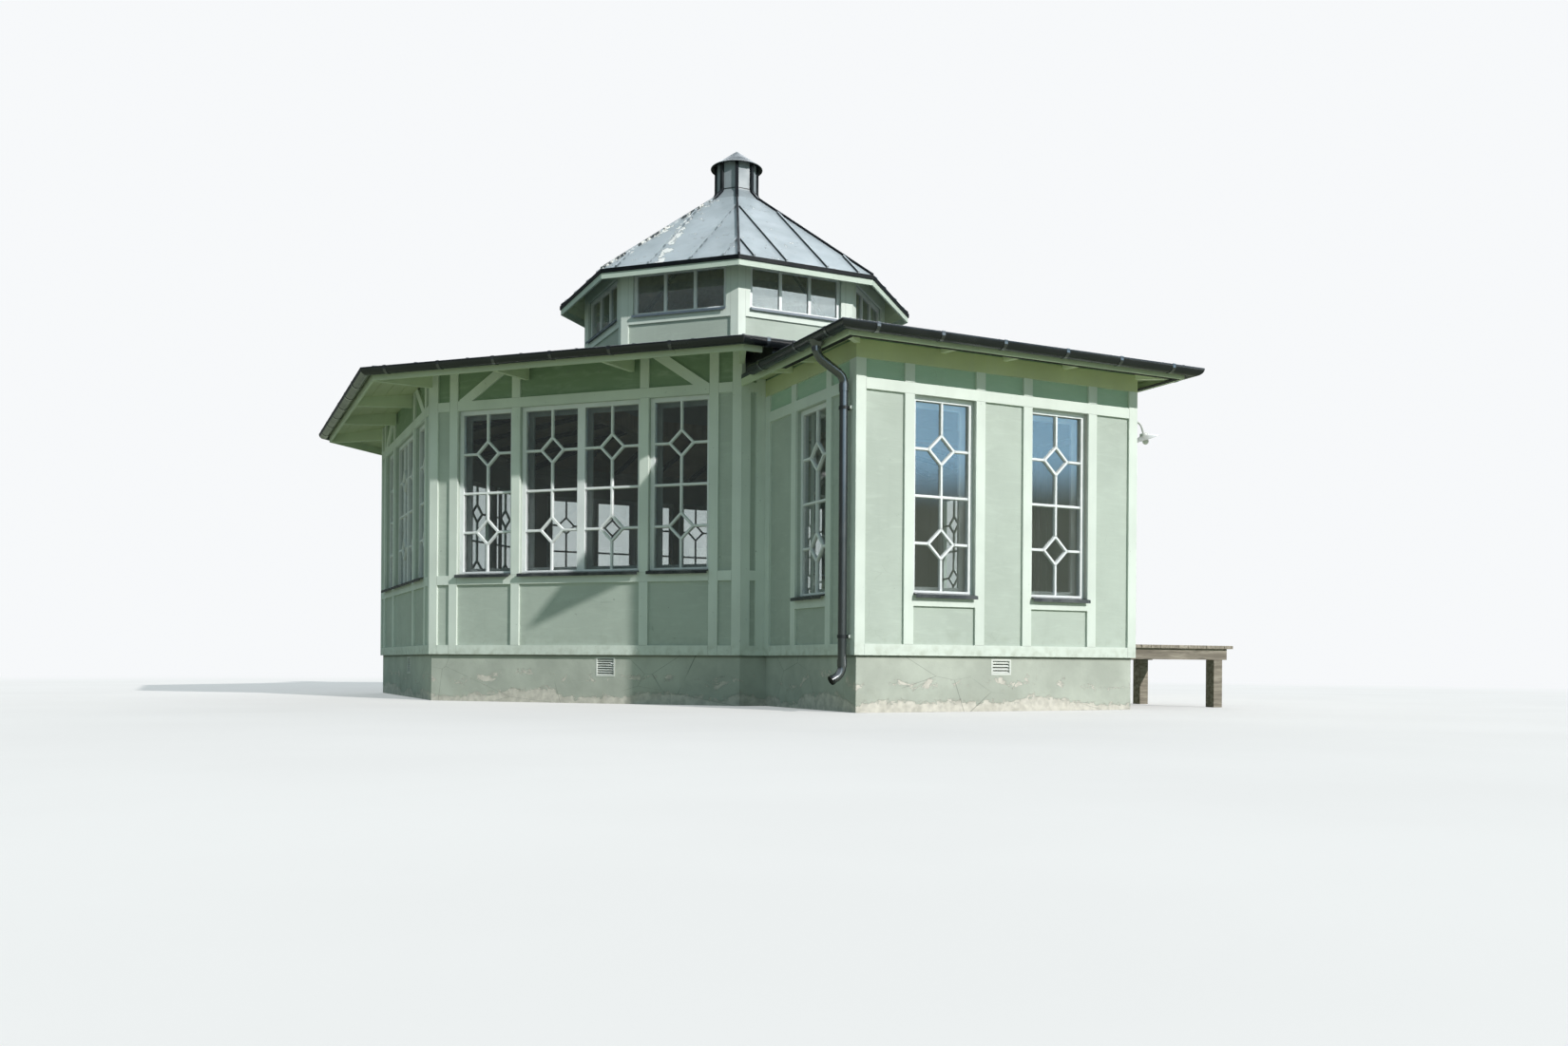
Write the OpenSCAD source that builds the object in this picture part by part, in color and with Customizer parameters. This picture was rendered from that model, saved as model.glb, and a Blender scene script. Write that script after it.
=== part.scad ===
// Octagonal timber garden pavilion with a glazed lantern, a vent cap and a rectangular annex.
// Millimetres. +Z is up, the annex points along -Y, and the origin is under the middle of the plan.

/* [Plan] */
// Length of one side of the octagon over its corner boards
side = 3500; // [3300:50:3800]
// Distance from the pavilion's corners to the corner boards of the annex
annex_inset = 250; // [200:5:300]
// Length of the annex from the octagon to its end boards
annex_l = 1810; // [1700:10:2200]
// Thickness of the framed walls behind their boards
wall_t = 120; // [90:5:150]
// Width of the passage from the pavilion into the annex
passage_w = 2400; // [1600:50:2500]

/* [Boards] */
// Width of the trim boards
board_w = 95; // [80:5:110]
// Thickness of the trim boards
board_t = 22; // [16:1:28]

/* [Plinth and floor] */
// Height of the plinth above the lowest ground
plinth_h = 485; // [350:5:700]
// Thickness of the plinth walls
plinth_t = 220; // [180:5:300]
// Set-back of the plinth behind the boards
plinth_inset = 32; // [24:1:50]
// Thickness of the floor with its joists
floor_t = 155; // [100:5:200]
// Width of a plinth vent
vent_w = 210; // [150:5:260]
// Height of a vent in the pavilion plinth
vent_h = 190; // [120:5:220]
// Height of the vent in the annex plinth
annex_vent_h = 140; // [100:5:190]
// Distance of a pavilion vent from the middle of its side
vent_x = 300; // [0:10:1200]
// Drop from the top of the plinth to the vents
vent_drop = 25; // [15:1:40]
// Height taken by one slat of a vent
slat_pitch = 23; // [16:1:30]
// Clear gap between two slats of a vent
slat_gap = 5; // [3:1:8]

/* [Pavilion walls] */
// Width of the narrow panel beside each corner board
narrow_w = 145; // [100:5:200]
// Clear width of a single window
single_w = 645; // [550:5:700]
// Height from the plinth to the sill rail
sill_h = 720; // [600:10:900]
// Clear height of the windows
window_h = 1710; // [1400:10:1900]
// Height of the frieze above the windows, up to the soffit
frieze_h = 318; // [260:2:420]
// Foot of a frieze brace along the head rail
brace_foot = 172; // [120:2:200]

/* [Annex walls] */
// Clear width of a window in the annex end
annex_window_w = 630; // [500:5:700]
// Width of the panel between the two end windows
annex_mid_w = 410; // [300:5:500]
// Clear width of the window in the annex side
annex_side_window_w = 600; // [450:5:650]
// Distance from the pavilion's boards to the middle of that window
annex_side_window_y = 965; // [900:5:1000]
// Height from the plinth to the sill rails of the annex
annex_sill_h = 425; // [350:5:500]
// Clear height of the annex windows
annex_window_h = 1715; // [1500:5:1730]
// Height of the band board under the annex eaves
band_h = 155; // [100:5:170]
// Ventilation gap above the band board
band_gap = 19; // [10:1:30]

/* [Windows and door] */
// Depth from the boards to the window frames
reveal = 55; // [40:1:70]
// Width of a window frame member
frame_w = 42; // [30:1:60]
// Depth of a window frame
frame_d = 60; // [40:1:70]
// Thickness of the glass
glass_t = 6; // [4:1:10]
// Reach of a sill in front of the boards
sill_nose = 45; // [30:1:70]
// Clear width of the entrance
door_w = 850; // [750:10:950]
// Clear height of the entrance above the floor
door_h = 2020; // [1900:10:2050]
// Distance from the pavilion's boards to the middle of the entrance
door_y = 845; // [800:5:900]
// Height of the door's lock rail above the floor
lock_rail_h = 900; // [800:10:1000]
// Thickness of the door leaf
door_t = 44; // [36:1:60]
// Width of the door frame members
door_frame_w = 50; // [40:1:70]

/* [Eaves] */
// Reach of the pavilion eaves from the boards to the gutter lip
eave_reach = 742; // [650:2:850]
// Distance of the annex's side fascias outside the pavilion's corners
annex_fascia_out = 7; // [0:1:30]
// Reach of the annex end eave
annex_end_reach = 465; // [400:5:560]
// Pitch of the pavilion roof in degrees
roof_pitch = 9; // [6:0.5:11]
// Thickness of the roof boards and sheet, measured upright
roof_t = 40; // [30:1:60]
// Height of the pavilion eaves above the annex eaves
annex_drop = 200; // [180:5:260]
// Width of the gutters
gutter_w = 125; // [100:5:150]
// Thickness of the gutter sheet
gutter_t = 3; // [2:0.5:5]
// Height of the pavilion fascia
fascia_h = 90; // [70:5:120]
// Height of the annex fascia
annex_fascia_h = 70; // [55:5:90]
// Width of a rafter tail
rafter_w = 48; // [36:2:60]
// Depth of a pavilion rafter tail at the wall
rafter_d = 150; // [110:5:170]
// Depth of a pavilion rafter tail at the fascia
rafter_tip_d = 98; // [80:2:104]
// Depth of an annex rafter tail
annex_rafter_d = 56; // [40:2:70]
// Distance of the pavilion rafter tails from the middle of a side
rafter_x = 590; // [400:10:700]
// Distance of the outer rafter tails of the annex end from its middle
annex_rafter_x = 650; // [500:10:800]
// Distance of the first rafter tail of an annex side from the end boards
annex_rafter_y = 770; // [600:10:900]
// Distance between the rafter tails of an annex side
annex_rafter_step = 470; // [400:10:550]
// Distance from the pavilion's boards to the ends of the annex gutters
annex_gutter_gap = 400; // [220:10:450]

/* [Roof seams] */
// Width of a standing seam
seam_w = 22; // [14:2:32]
// Height of a standing seam of the pavilion and annex roofs, measured upright
seam_h = 18; // [12:2:30]
// Height of a standing seam of the lantern roof, measured upright
lantern_seam_h = 30; // [20:2:50]
// Distance between the seams of the pavilion and annex roofs
seam_step = 600; // [450:10:800]

/* [Lantern] */
// Length of one side of the lantern over its corner boards
lantern_side = 1510; // [1300:10:1700]
// Thickness of the lantern walls behind their boards
lantern_wall_t = 80; // [60:5:110]
// Width of the second board beside the lantern windows
lantern_jamb_w = 60; // [40:5:90]
// Height from the main roof to the sill rail of the lantern
lantern_panel_h = 612; // [500:2:800]
// Clear height of the lantern windows with their sills
lantern_window_h = 525; // [400:5:650]
// Reach of the lantern eaves to the drip edge
lantern_reach = 300; // [220:5:380]
// Pitch of the lantern roof in degrees
lantern_pitch = 38; // [32:0.5:43]
// Height of the lantern fascia
lantern_fascia_h = 68; // [50:2:90]
// Height of the lantern walls above the windows, up to the soffit
lantern_head_h = 160; // [120:2:220]
// Height of the drip edge, the same as the upright thickness of the lantern roof
drip_h = 47; // [35:1:60]
// Thickness of the drip edge
drip_t = 14; // [8:1:20]
// Width of the bars between the lantern panes
mullion_w = 36; // [24:2:50]
// Distance of the inner seams from the middle of a roof side
seam_inner_x = 265; // [200:5:320]
// Distance of the outer seams from the middle of a roof side
seam_outer_x = 680; // [600:5:740]

/* [Vent] */
// Radius of the vent shaft over its corners
shaft_r = 265; // [220:5:300]
// Radius of the flared foot of the vent over its corners
skirt_r = 390; // [350:5:450]
// Angle of the flared foot above level, steeper than the roof
flare_angle = 48; // [46:1:60]
// Radius of the curve from the flared foot into the shaft
flare_r = 78; // [40:2:140]
// Height of the straight shaft
shaft_h = 370; // [200:10:420]
// Radius of the conical cap
cap_r = 335; // [310:5:400]
// Height of the conical cap
cap_h = 243; // [180:1:320]
// Thickness of the cap sheet, measured upright
cap_t = 8; // [5:1:12]
// Width of the rolls up the corners of the vent
vent_roll_w = 44; // [30:2:60]
// How far those rolls stand out
vent_roll_h = 24; // [14:2:30]

/* [Downpipe, lamp and landing] */
// Diameter of the downpipe
pipe_d = 75; // [60:1:90]
// Gap between the downpipe and the boards
pipe_gap = 22; // [12:1:40]
// Radius of the downpipe bends, along their middle
bend_r = 110; // [90:5:130]
// Reach of the lamp arm from the boards to the head of the shade
lamp_reach = 320; // [260:5:380]
// Radius of the curve of the lamp arm
lamp_bend_r = 90; // [60:5:120]
// Straight end of the lamp arm above the shade
lamp_neck = 45; // [20:5:70]
// Lean of the lamp shade away from the wall
lamp_tilt = 20; // [0:1:35]
// Radius of the lamp shade
shade_r = 140; // [100:5:160]
// Radius of the bulb
bulb_r = 30; // [25:1:34]
// Width of the landing in front of the entrance
landing_w = 1550; // [1200:50:2000]
// Length of the landing along the annex side
landing_l = 1200; // [1100:20:1400]
// Thickness of the landing planks
plank_t = 32; // [24:1:45]
// Drop from the floor to the landing
landing_drop = 20; // [10:5:60]
// Depth of the landing beams
beam_h = 110; // [90:5:150]
// Width of the landing feet
foot_w = 110; // [80:5:140]
// Distance of the feet from the ends of the beams
foot_inset = 85; // [50:5:200]

/* [Hidden] */
$fn = 48;

// Half the angle that one side of the octagon takes up
half = 22.5;
// Hairline joint between mitred pieces
joint = 1;
// Clearance between pieces that are fitted but not fastened
fit = 2;

// Width of the annex over its corner boards
annex_w = side - 2 * annex_inset;

// Distances of the faces from the pavilion's middle
wall_a = side / 2 / tan(half);
panel_a = wall_a - board_t;
inner_a = panel_a - wall_t;
fascia_a = wall_a + eave_reach - gutter_w;
tail_a = fascia_a - board_t;
end_a = wall_a + annex_l;
annex_fascia_a = end_a + annex_end_reach - gutter_w;
annex_fascia_x = side / 2 + annex_fascia_out;
middle_y = (end_a + annex_end_reach - (wall_a + eave_reach)) / 2;

// Levels of the pavilion walls
rail_z = plinth_h + board_w;
sill_z = plinth_h + sill_h;
window_z = sill_z + board_w;
head_z = window_z + window_h;
frieze_z = head_z + board_w;
eave_z = frieze_z + frieze_h - (fascia_a - wall_a) * tan(roof_pitch);
floor_z = plinth_h + floor_t;
function soffit_z(a) = eave_z + (fascia_a - a) * tan(roof_pitch);

// Levels of the annex, whose ridge passes just under the pavilion eaves
annex_eave_z = eave_z - annex_drop;
annex_slope = (annex_drop - roof_t - 3 * fit) / annex_fascia_x;
annex_window_z = plinth_h + annex_sill_h + board_w;
annex_head_z = annex_window_z + annex_window_h;
end_soffit_z = annex_eave_z + (annex_fascia_a - end_a) * annex_slope;
side_soffit_z = annex_eave_z + (annex_fascia_x - annex_w / 2) * annex_slope;
band_z = side_soffit_z - band_gap - band_h;

// Window bays of a pavilion side: middle and width
double_w = side - 2 * (3 * board_w + narrow_w + single_w);
single_x = (double_w + single_w) / 2 + board_w;
narrow_x = (side - narrow_w) / 2 - board_w;
window_bays = [[-single_x, single_w], [0, double_w], [single_x, single_w]];
panel_bays = [[-narrow_x, narrow_w], [narrow_x, narrow_w]];

// Bays of the annex end and of its sides, with sides measured from the pavilion's middle
annex_window_x = (annex_mid_w + annex_window_w) / 2 + board_w;
annex_outer_w = annex_w / 2 - annex_window_x - annex_window_w / 2 - 2 * board_w;
annex_outer_x = annex_w / 2 - board_w - annex_outer_w / 2;
annex_side_x = wall_a + annex_side_window_y;
door_x = wall_a + door_y;

// Lantern
lantern_a = lantern_side / 2 / tan(half);
lantern_panel_a = lantern_a - board_t;
lantern_inner_a = lantern_panel_a - lantern_wall_t;
lantern_z = soffit_z(lantern_a) + roof_t;
lantern_sill_z = lantern_z + lantern_panel_h;
lantern_window_z = lantern_sill_z + board_w;
lantern_head_z = lantern_window_z + lantern_window_h;
lantern_window_w = lantern_side - 2 * (board_w + lantern_jamb_w);
drip_a = lantern_a + lantern_reach;
lantern_edge_a = drip_a - drip_t;
lantern_eave_z = lantern_head_z + lantern_head_h - (lantern_edge_a - lantern_a) * tan(lantern_pitch);
function lantern_soffit_z(a) = lantern_eave_z + (lantern_edge_a - a) * tan(lantern_pitch);
function lantern_top_z(a) = lantern_soffit_z(a) + drip_h;

// Vent on top of the lantern
shaft_a = shaft_r * cos(half);
skirt_a = skirt_r * cos(half);
flare_z = lantern_top_z(skirt_a);
flare_turn = 90 - flare_angle;
flare_run = skirt_a - shaft_a - flare_r * (1 - cos(flare_turn));
shaft_z = flare_z + flare_run * tan(flare_angle) + flare_r * sin(flare_turn);
cap_z = shaft_z + shaft_h;
cap_slope = cap_h / cap_r;

// Lays a flat outline of distance and height out along one side, cut to the octagon's mitres
module sector(outline, reach, gap = 0) {
    width = 2 * reach * tan(half);
    intersection() {
        rotate([90, 0, -90]) linear_extrude(width, center = true) polygon(outline);
        eighth(reach, gap);
    }
}

// A tall wedge that holds one eighth of the plan, drawn in by half a gap at each mitre
module eighth(reach, gap = 0) {
    tall = 12000;
    linear_extrude(tall)
        translate([0, -gap / 2 / sin(half)])
            polygon([[0, 0], [-reach * tan(half), -reach], [reach * tan(half), -reach]]);
}

// Repeats its children on the named sides, of which 0 faces the annex
module on_sides(sides) {
    for (k = sides) rotate([0, 0, -45 * k]) children();
}

// A plate of thickness t whose back lies at distance a, drawn in width and height
module plate(a, t) {
    translate([0, -a, 0]) rotate([90, 0, 0]) linear_extrude(t) children();
}

// A solid octagonal prism between two levels
module octagon(a, z0, z1) {
    translate([0, 0, z0]) rotate([0, 0, half]) cylinder(r = a / cos(half), h = z1 - z0, $fn = 8);
}

// A rectangle centred on x, from z0 to z1
module bay(x, w, z0, z1) {
    translate([x - w / 2, z0]) square([w, z1 - z0]);
}

// Moves a piece from the pavilion's middle to the middle of the whole plan
module placed() {
    translate([0, middle_y, 0]) children();
}

// The left side of the annex and, mirrored, its right side
module annex_left() rotate([0, 0, -90]) children();
module annex_right() mirror([1, 0, 0]) rotate([0, 0, -90]) children();

// Plinth

module plinth() color([0.62, 0.68, 0.61]) placed() {
    plinth_a = wall_a - plinth_inset;
    end_plinth_a = end_a - plinth_inset;
    side_plinth_x = annex_w / 2 - plinth_inset;
    on_sides([0 : 7]) difference() {
        sector([[plinth_a - plinth_t, 0], [plinth_a, 0], [plinth_a, plinth_h],
            [plinth_a - plinth_t, plinth_h]], plinth_a, joint);
        vent_hole(plinth_a) vent_outline(vent_x, vent_h);
    }
    difference() {
        plate(end_plinth_a - plinth_t, plinth_t) bay(0, 2 * side_plinth_x, 0, plinth_h);
        vent_hole(end_plinth_a) vent_outline(0, annex_vent_h);
    }
    for (m = [0, 1]) mirror([m, 0, 0])
        translate([-side_plinth_x, -end_plinth_a + plinth_t + joint, 0])
            cube([plinth_t, end_plinth_a - plinth_t - plinth_a - 2 * joint, plinth_h]);
}

// Cuts its outline through a plinth wall whose face is at distance face_a
module vent_hole(face_a) {
    plate(face_a - plinth_t - 1, plinth_t + 2) children();
}

// A vent's outline at x, drawn in by a rim
module vent_outline(x, h, rim = 0) {
    top_z = plinth_h - vent_drop;
    bay(x, vent_w - 2 * rim, top_z - h + rim, top_z - rim);
}

module plinth_vents() color([0.76, 0.77, 0.75]) placed() {
    on_sides([1 : 7]) vent(wall_a - plinth_inset, vent_x, vent_h);
    vent(end_a - plinth_inset, 0, annex_vent_h);
}

// A sheet frame with sloping slats
module vent(face_a, x, h) {
    rim = 14;
    depth = 30;
    slat_t = 3;
    slats = floor((h - 2 * rim) / slat_pitch);
    pitch = (h - 2 * rim) / slats;
    rise = pitch - slat_gap - slat_t;
    bottom = plinth_h - vent_drop - h + rim;
    plate(face_a - depth, depth + slat_t) difference() {
        vent_outline(x, h);
        vent_outline(x, h, rim);
    }
    for (n = [0 : slats - 1])
        translate([x, 0, bottom + n * pitch]) rotate([90, 0, -90])
            linear_extrude(vent_w - 2 * rim + 1, center = true) translate([face_a - depth, 0])
                polygon([[2, rise], [depth - 4, 1], [depth - 1, 1 + slat_t], [5, rise + slat_t]]);
}

// Floors

module pavilion_floor() color([0.55, 0.42, 0.28]) placed()
    octagon(inner_a, plinth_h, floor_z);

module annex_floor() color([0.55, 0.42, 0.28]) placed() {
    inner_x = annex_w / 2 - board_t - wall_t;
    translate([-inner_x, -(end_a - board_t - wall_t), plinth_h])
        cube([2 * inner_x, end_a - board_t - wall_t - panel_a, floor_t]);
}

// Pavilion walls

module wall_panel() {
    sector([[inner_a, plinth_h], [panel_a, plinth_h], [panel_a, soffit_z(panel_a)],
        [inner_a, soffit_z(inner_a)]], panel_a);
}

module window_wall(k) color([0.60, 0.70, 0.60]) placed() on_sides([k]) difference() {
    wall_panel();
    plate(inner_a - 1, wall_t + 2) for (b = window_bays) bay(b[0], b[1], window_z, head_z);
}

module pavilion_wall_front() color([0.60, 0.70, 0.60]) placed() difference() {
    wall_panel();
    plate(inner_a - 1, wall_t + 2) bay(0, passage_w, floor_z, annex_head_z);
}

module pavilion_wall_front_left() window_wall(1);
module pavilion_wall_left() window_wall(2);
module pavilion_wall_back_left() window_wall(3);
module pavilion_wall_back() window_wall(4);
module pavilion_wall_back_right() window_wall(5);
module pavilion_wall_right() window_wall(6);
module pavilion_wall_front_right() window_wall(7);

// The board lattice of one side, drawn flat
module pavilion_lattice(windows, panels) {
    top_z = soffit_z(wall_a);
    difference() {
        bay(0, side, plinth_h, top_z);
        for (b = concat(windows, panels)) {
            bay(b[0], b[1], rail_z, sill_z);
            bay(b[0], b[1], window_z, head_z);
            bay(b[0], b[1], frieze_z, top_z + 1);
        }
    }
    for (s = [-1, 1]) scale([s, 1])
        if (len(windows) > 0) brace(single_x, top_z);
}

// A diagonal board from the outer foot of a frieze panel to its inner head
module brace(x, top_z) {
    outer = x + single_w / 2;
    inner = x - single_w / 2;
    polygon([[outer + 1, frieze_z - 1], [outer - brace_foot, frieze_z - 1], [inner - 1, top_z],
        [inner + brace_foot, top_z]]);
}

module pavilion_boards() color([0.72, 0.82, 0.70]) placed() {
    on_sides([1 : 7]) intersection() {
        plate(panel_a, board_t) pavilion_lattice(window_bays, panel_bays);
        eighth(wall_a, joint);
    }
    beside_w = (side - annex_w) / 2 - 2 * board_w;
    beside_x = side / 2 - board_w - beside_w / 2;
    intersection() {
        plate(panel_a, board_t) difference() {
            pavilion_lattice([], [[-beside_x, beside_w], [beside_x, beside_w]]);
            bay(0, annex_w, plinth_h - 1, soffit_z(wall_a) + 1);
        }
        eighth(wall_a, joint);
    }
}

// Annex walls

module annex_wall_end() color([0.62, 0.72, 0.62]) placed() {
    back_a = end_a - board_t - wall_t;
    difference() {
        rotate([90, 0, -90]) linear_extrude(annex_w - 2 * board_t, center = true)
            polygon([[back_a, plinth_h], [end_a - board_t, plinth_h],
                [end_a - board_t, end_soffit_z + board_t * annex_slope],
                [back_a, end_soffit_z + (board_t + wall_t) * annex_slope]]);
        plate(back_a - 1, wall_t + 2) annex_end_windows();
        for (m = [0, 1]) mirror([m, 0, 0]) annex_side_bevel();
    }
}

// What the slope of a side roof takes off the ends of the end wall
module annex_side_bevel() {
    far_x = annex_w / 2 - board_t;
    low_z = side_soffit_z + board_t * annex_slope;
    run = 800;
    translate([0, -end_a, 0]) rotate([90, 0, 180]) mirror([0, 0, 1]) linear_extrude(wall_t + 2 * board_t)
        polygon([[far_x + 1, low_z - annex_slope], [far_x - run, low_z + run * annex_slope],
            [far_x - run, low_z + 400], [far_x + 1, low_z + 400]]);
}

module annex_end_windows() {
    for (s = [-1, 1]) bay(s * annex_window_x, annex_window_w, annex_window_z, annex_head_z);
}

// One side wall, laid out along x from the pavilion, with its outer face turned to -Y
module annex_side_wall() difference() {
    far_x = annex_w / 2 - board_t;
    near_x = far_x - wall_t;
    low_z = side_soffit_z + board_t * annex_slope;
    length = end_a - board_t - wall_t - panel_a;
    translate([panel_a + length / 2, 0, 0]) rotate([90, 0, -90]) linear_extrude(length, center = true)
        polygon([[near_x, plinth_h], [far_x, plinth_h], [far_x, low_z],
            [near_x, low_z + wall_t * annex_slope]]);
    plate(near_x - 1, wall_t + 2) children();
}

module annex_wall_left() color([0.62, 0.72, 0.62]) placed() annex_left() annex_side_wall()
    bay(annex_side_x, annex_side_window_w, annex_window_z, annex_head_z);

module annex_wall_right() color([0.62, 0.72, 0.62]) placed() annex_right() annex_side_wall()
    bay(door_x, door_w, floor_z, floor_z + door_h);

module annex_boards() color([0.74, 0.84, 0.72]) placed() {
    plate(end_a - board_t, board_t) annex_end_lattice();
    annex_left() plate(annex_w / 2 - board_t, board_t)
        annex_side_lattice(annex_side_x, annex_side_window_w, false);
    annex_right() plate(annex_w / 2 - board_t, board_t) annex_side_lattice(door_x, door_w, true);
}

module annex_end_lattice() {
    bays = [[-annex_outer_x, annex_outer_w], [-annex_window_x, annex_window_w], [0, annex_mid_w],
        [annex_window_x, annex_window_w], [annex_outer_x, annex_outer_w]];
    difference() {
        bay(0, annex_w, plinth_h, band_z + band_h);
        for (b = bays) {
            bay(b[0], b[1], rail_z, annex_head_z);
            bay(b[0], b[1], annex_head_z + board_w, band_z);
        }
    }
    for (s = [-1, 1])
        bay(s * annex_window_x, annex_window_w + 2, annex_window_z - board_w, annex_window_z);
}

// The lattice of one annex side, with a window or a door at x
module annex_side_lattice(x, w, is_door) {
    start = wall_a + joint;
    stop = end_a - board_t - joint;
    near_w = x - w / 2 - 2 * board_w - start;
    far_w = stop - x - w / 2 - 2 * board_w;
    near_x = start + board_w + near_w / 2;
    far_x = stop - board_w - far_w / 2;
    low_z = is_door ? floor_z : rail_z;
    high_z = is_door ? floor_z + door_h : annex_head_z;
    difference() {
        bay((start + stop) / 2, stop - start, plinth_h, band_z + band_h);
        bay(x, w, low_z, high_z);
        for (b = [[near_x, near_w], [far_x, far_w]]) bay(b[0], b[1], rail_z, annex_head_z);
        for (b = [[near_x, near_w], [x, w], [far_x, far_w]])
            bay(b[0], b[1], annex_head_z + board_w, band_z);
    }
    if (!is_door) bay(x, w + 2, annex_window_z - board_w, annex_window_z);
}

// Windows

// A window frame with a given number of lights, drawn flat in the opening of a bay
module frame_outline(x, w, z0, z1, lights, bar_w) {
    difference() {
        bay(x, w, z0, z1);
        pane_outline(x, w, z0, z1, lights, bar_w);
    }
}

// The panes of the same frame
module pane_outline(x, w, z0, z1, lights, bar_w) {
    light_w = (w - 2 * frame_w - (lights - 1) * bar_w) / lights;
    for (n = [0 : lights - 1])
        bay(x - w / 2 + frame_w + light_w / 2 + n * (light_w + bar_w), light_w, z0 + frame_w,
            z1 - frame_w);
}

module pavilion_window_frames() color("white") placed() on_sides([1 : 7])
    plate(wall_a - reveal - frame_d, frame_d) {
        for (b = window_bays)
            frame_outline(b[0], b[1], window_z, head_z, b[0] == 0 ? 2 : 1, 2 * frame_w);
    }

module annex_window_frames() color("white") placed() {
    plate(end_a - reveal - frame_d, frame_d) for (s = [-1, 1])
        frame_outline(s * annex_window_x, annex_window_w, annex_window_z, annex_head_z, 1, 0);
    annex_left() plate(annex_w / 2 - reveal - frame_d, frame_d)
        frame_outline(annex_side_x, annex_side_window_w, annex_window_z, annex_head_z, 1, 0);
}

module window_glass() color([0.65, 0.75, 0.80]) placed() {
    set_back = reveal + frame_d / 2 + glass_t / 2;
    on_sides([1 : 7]) plate(wall_a - set_back, glass_t) for (b = window_bays)
        pane_outline(b[0], b[1], window_z, head_z, b[0] == 0 ? 2 : 1, 2 * frame_w);
    plate(end_a - set_back, glass_t) for (s = [-1, 1])
        pane_outline(s * annex_window_x, annex_window_w, annex_window_z, annex_head_z, 1, 0);
    annex_left() plate(annex_w / 2 - set_back, glass_t)
        pane_outline(annex_side_x, annex_side_window_w, annex_window_z, annex_head_z, 1, 0);
}

// A folded sheet sill in front of the frame foot, with its boards at distance a
module sill(a, x, w, z) {
    rise = 24;
    lip = 26;
    sheet = 4;
    outline = [[a - reveal, z], [a + sill_nose - sheet, z], [a + sill_nose - sheet, z - lip],
        [a + sill_nose, z - lip], [a + sill_nose, z + sheet], [a - reveal, z + rise]];
    translate([x, 0, 0]) rotate([90, 0, -90]) linear_extrude(w, center = true) polygon(outline);
}

module window_sills() color([0.13, 0.14, 0.16]) placed() {
    on_sides([1 : 7]) for (b = window_bays) sill(wall_a, b[0], b[1], window_z);
    for (s = [-1, 1]) sill(end_a, s * annex_window_x, annex_window_w, annex_window_z);
    annex_left() sill(annex_w / 2, annex_side_x, annex_side_window_w, annex_window_z);
}

// Door

module door_frame() color("white") placed() annex_right()
    plate(annex_w / 2 - reveal - frame_d, frame_d) difference() {
        bay(door_x, door_w, floor_z, floor_z + door_h);
        bay(door_x, door_w - 2 * door_frame_w, floor_z - 1, floor_z + door_h - door_frame_w);
    }

module entrance_door() color([0.66, 0.76, 0.65]) placed() annex_right() {
    back = annex_w / 2 - reveal - door_t - (frame_d - door_t) / 2;
    leaf_w = door_w - 2 * door_frame_w;
    leaf_top = floor_z + door_h - door_frame_w;
    lock_rail_z = floor_z + lock_rail_h;
    stile_w = 110;
    field_w = leaf_w - 2 * stile_w;
    difference() {
        plate(back, door_t) bay(door_x, leaf_w, floor_z, leaf_top);
        for (face = [back - 1, back + door_t - 12]) plate(face, 13) {
            bay(door_x, field_w, floor_z + 2 * stile_w, lock_rail_z);
            bay(door_x, field_w, lock_rail_z + stile_w, leaf_top - stile_w);
        }
    }
}

// Rafter tails

module pavilion_rafters() color([0.72, 0.80, 0.62]) placed() difference() {
    intersection() {
        union() {
            on_sides([1 : 7]) for (s = [-1, 1]) translate([s * rafter_x, 0, 0]) rafter(wall_a);
            on_sides([0 : 7]) rotate([0, 0, half]) hip_rafter();
        }
        octagon(tail_a, eave_z - 2 * rafter_d, soffit_z(inner_a));
    }
    octagon(wall_a, eave_z - 3 * rafter_d, soffit_z(0));
}

// Underside of a rafter tail, which is deepest at the wall
function rafter_z(a) = soffit_z(a) - rafter_tip_d
    - (rafter_d - rafter_tip_d) * (tail_a - a) / (tail_a - wall_a);

// A rafter tail that runs a little past the inner face of the fascia, to be cut there
module rafter(start_a) {
    stop_a = tail_a + 50;
    rotate([90, 0, -90]) linear_extrude(rafter_w, center = true)
        polygon([[start_a, rafter_z(start_a)], [stop_a, rafter_z(stop_a)],
            [stop_a, soffit_z(stop_a)], [start_a, soffit_z(start_a)]]);
}

// A rafter along a hip, let down so that its edges just meet the two roof slopes
module hip_rafter() {
    drop = rafter_w / 2 * sin(half) * tan(roof_pitch);
    start_r = wall_a;
    stop_r = tail_a / cos(half) + 50;
    start_a = start_r * cos(half);
    stop_a = stop_r * cos(half);
    rotate([90, 0, -90]) linear_extrude(rafter_w, center = true)
        polygon([[start_r, rafter_z(start_a) - drop], [stop_r, rafter_z(stop_a) - drop],
            [stop_r, soffit_z(stop_a) - drop], [start_r, soffit_z(start_a) - drop]]);
}

module annex_rafters() color([0.72, 0.80, 0.62]) placed() {
    for (n = [-1 : 1]) translate([n * annex_rafter_x, 0, 0]) annex_tail(end_a, annex_fascia_a);
    for (n = [0, 1]) {
        y = end_a - annex_rafter_y - n * annex_rafter_step;
        annex_left() translate([y, 0, 0]) annex_tail(annex_w / 2, annex_fascia_x);
        annex_right() translate([y, 0, 0]) annex_tail(annex_w / 2, annex_fascia_x);
    }
    for (m = [0, 1]) mirror([m, 0, 0]) annex_hip_tail();
}

function annex_soffit_z(run) = annex_eave_z + run * annex_slope;

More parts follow.
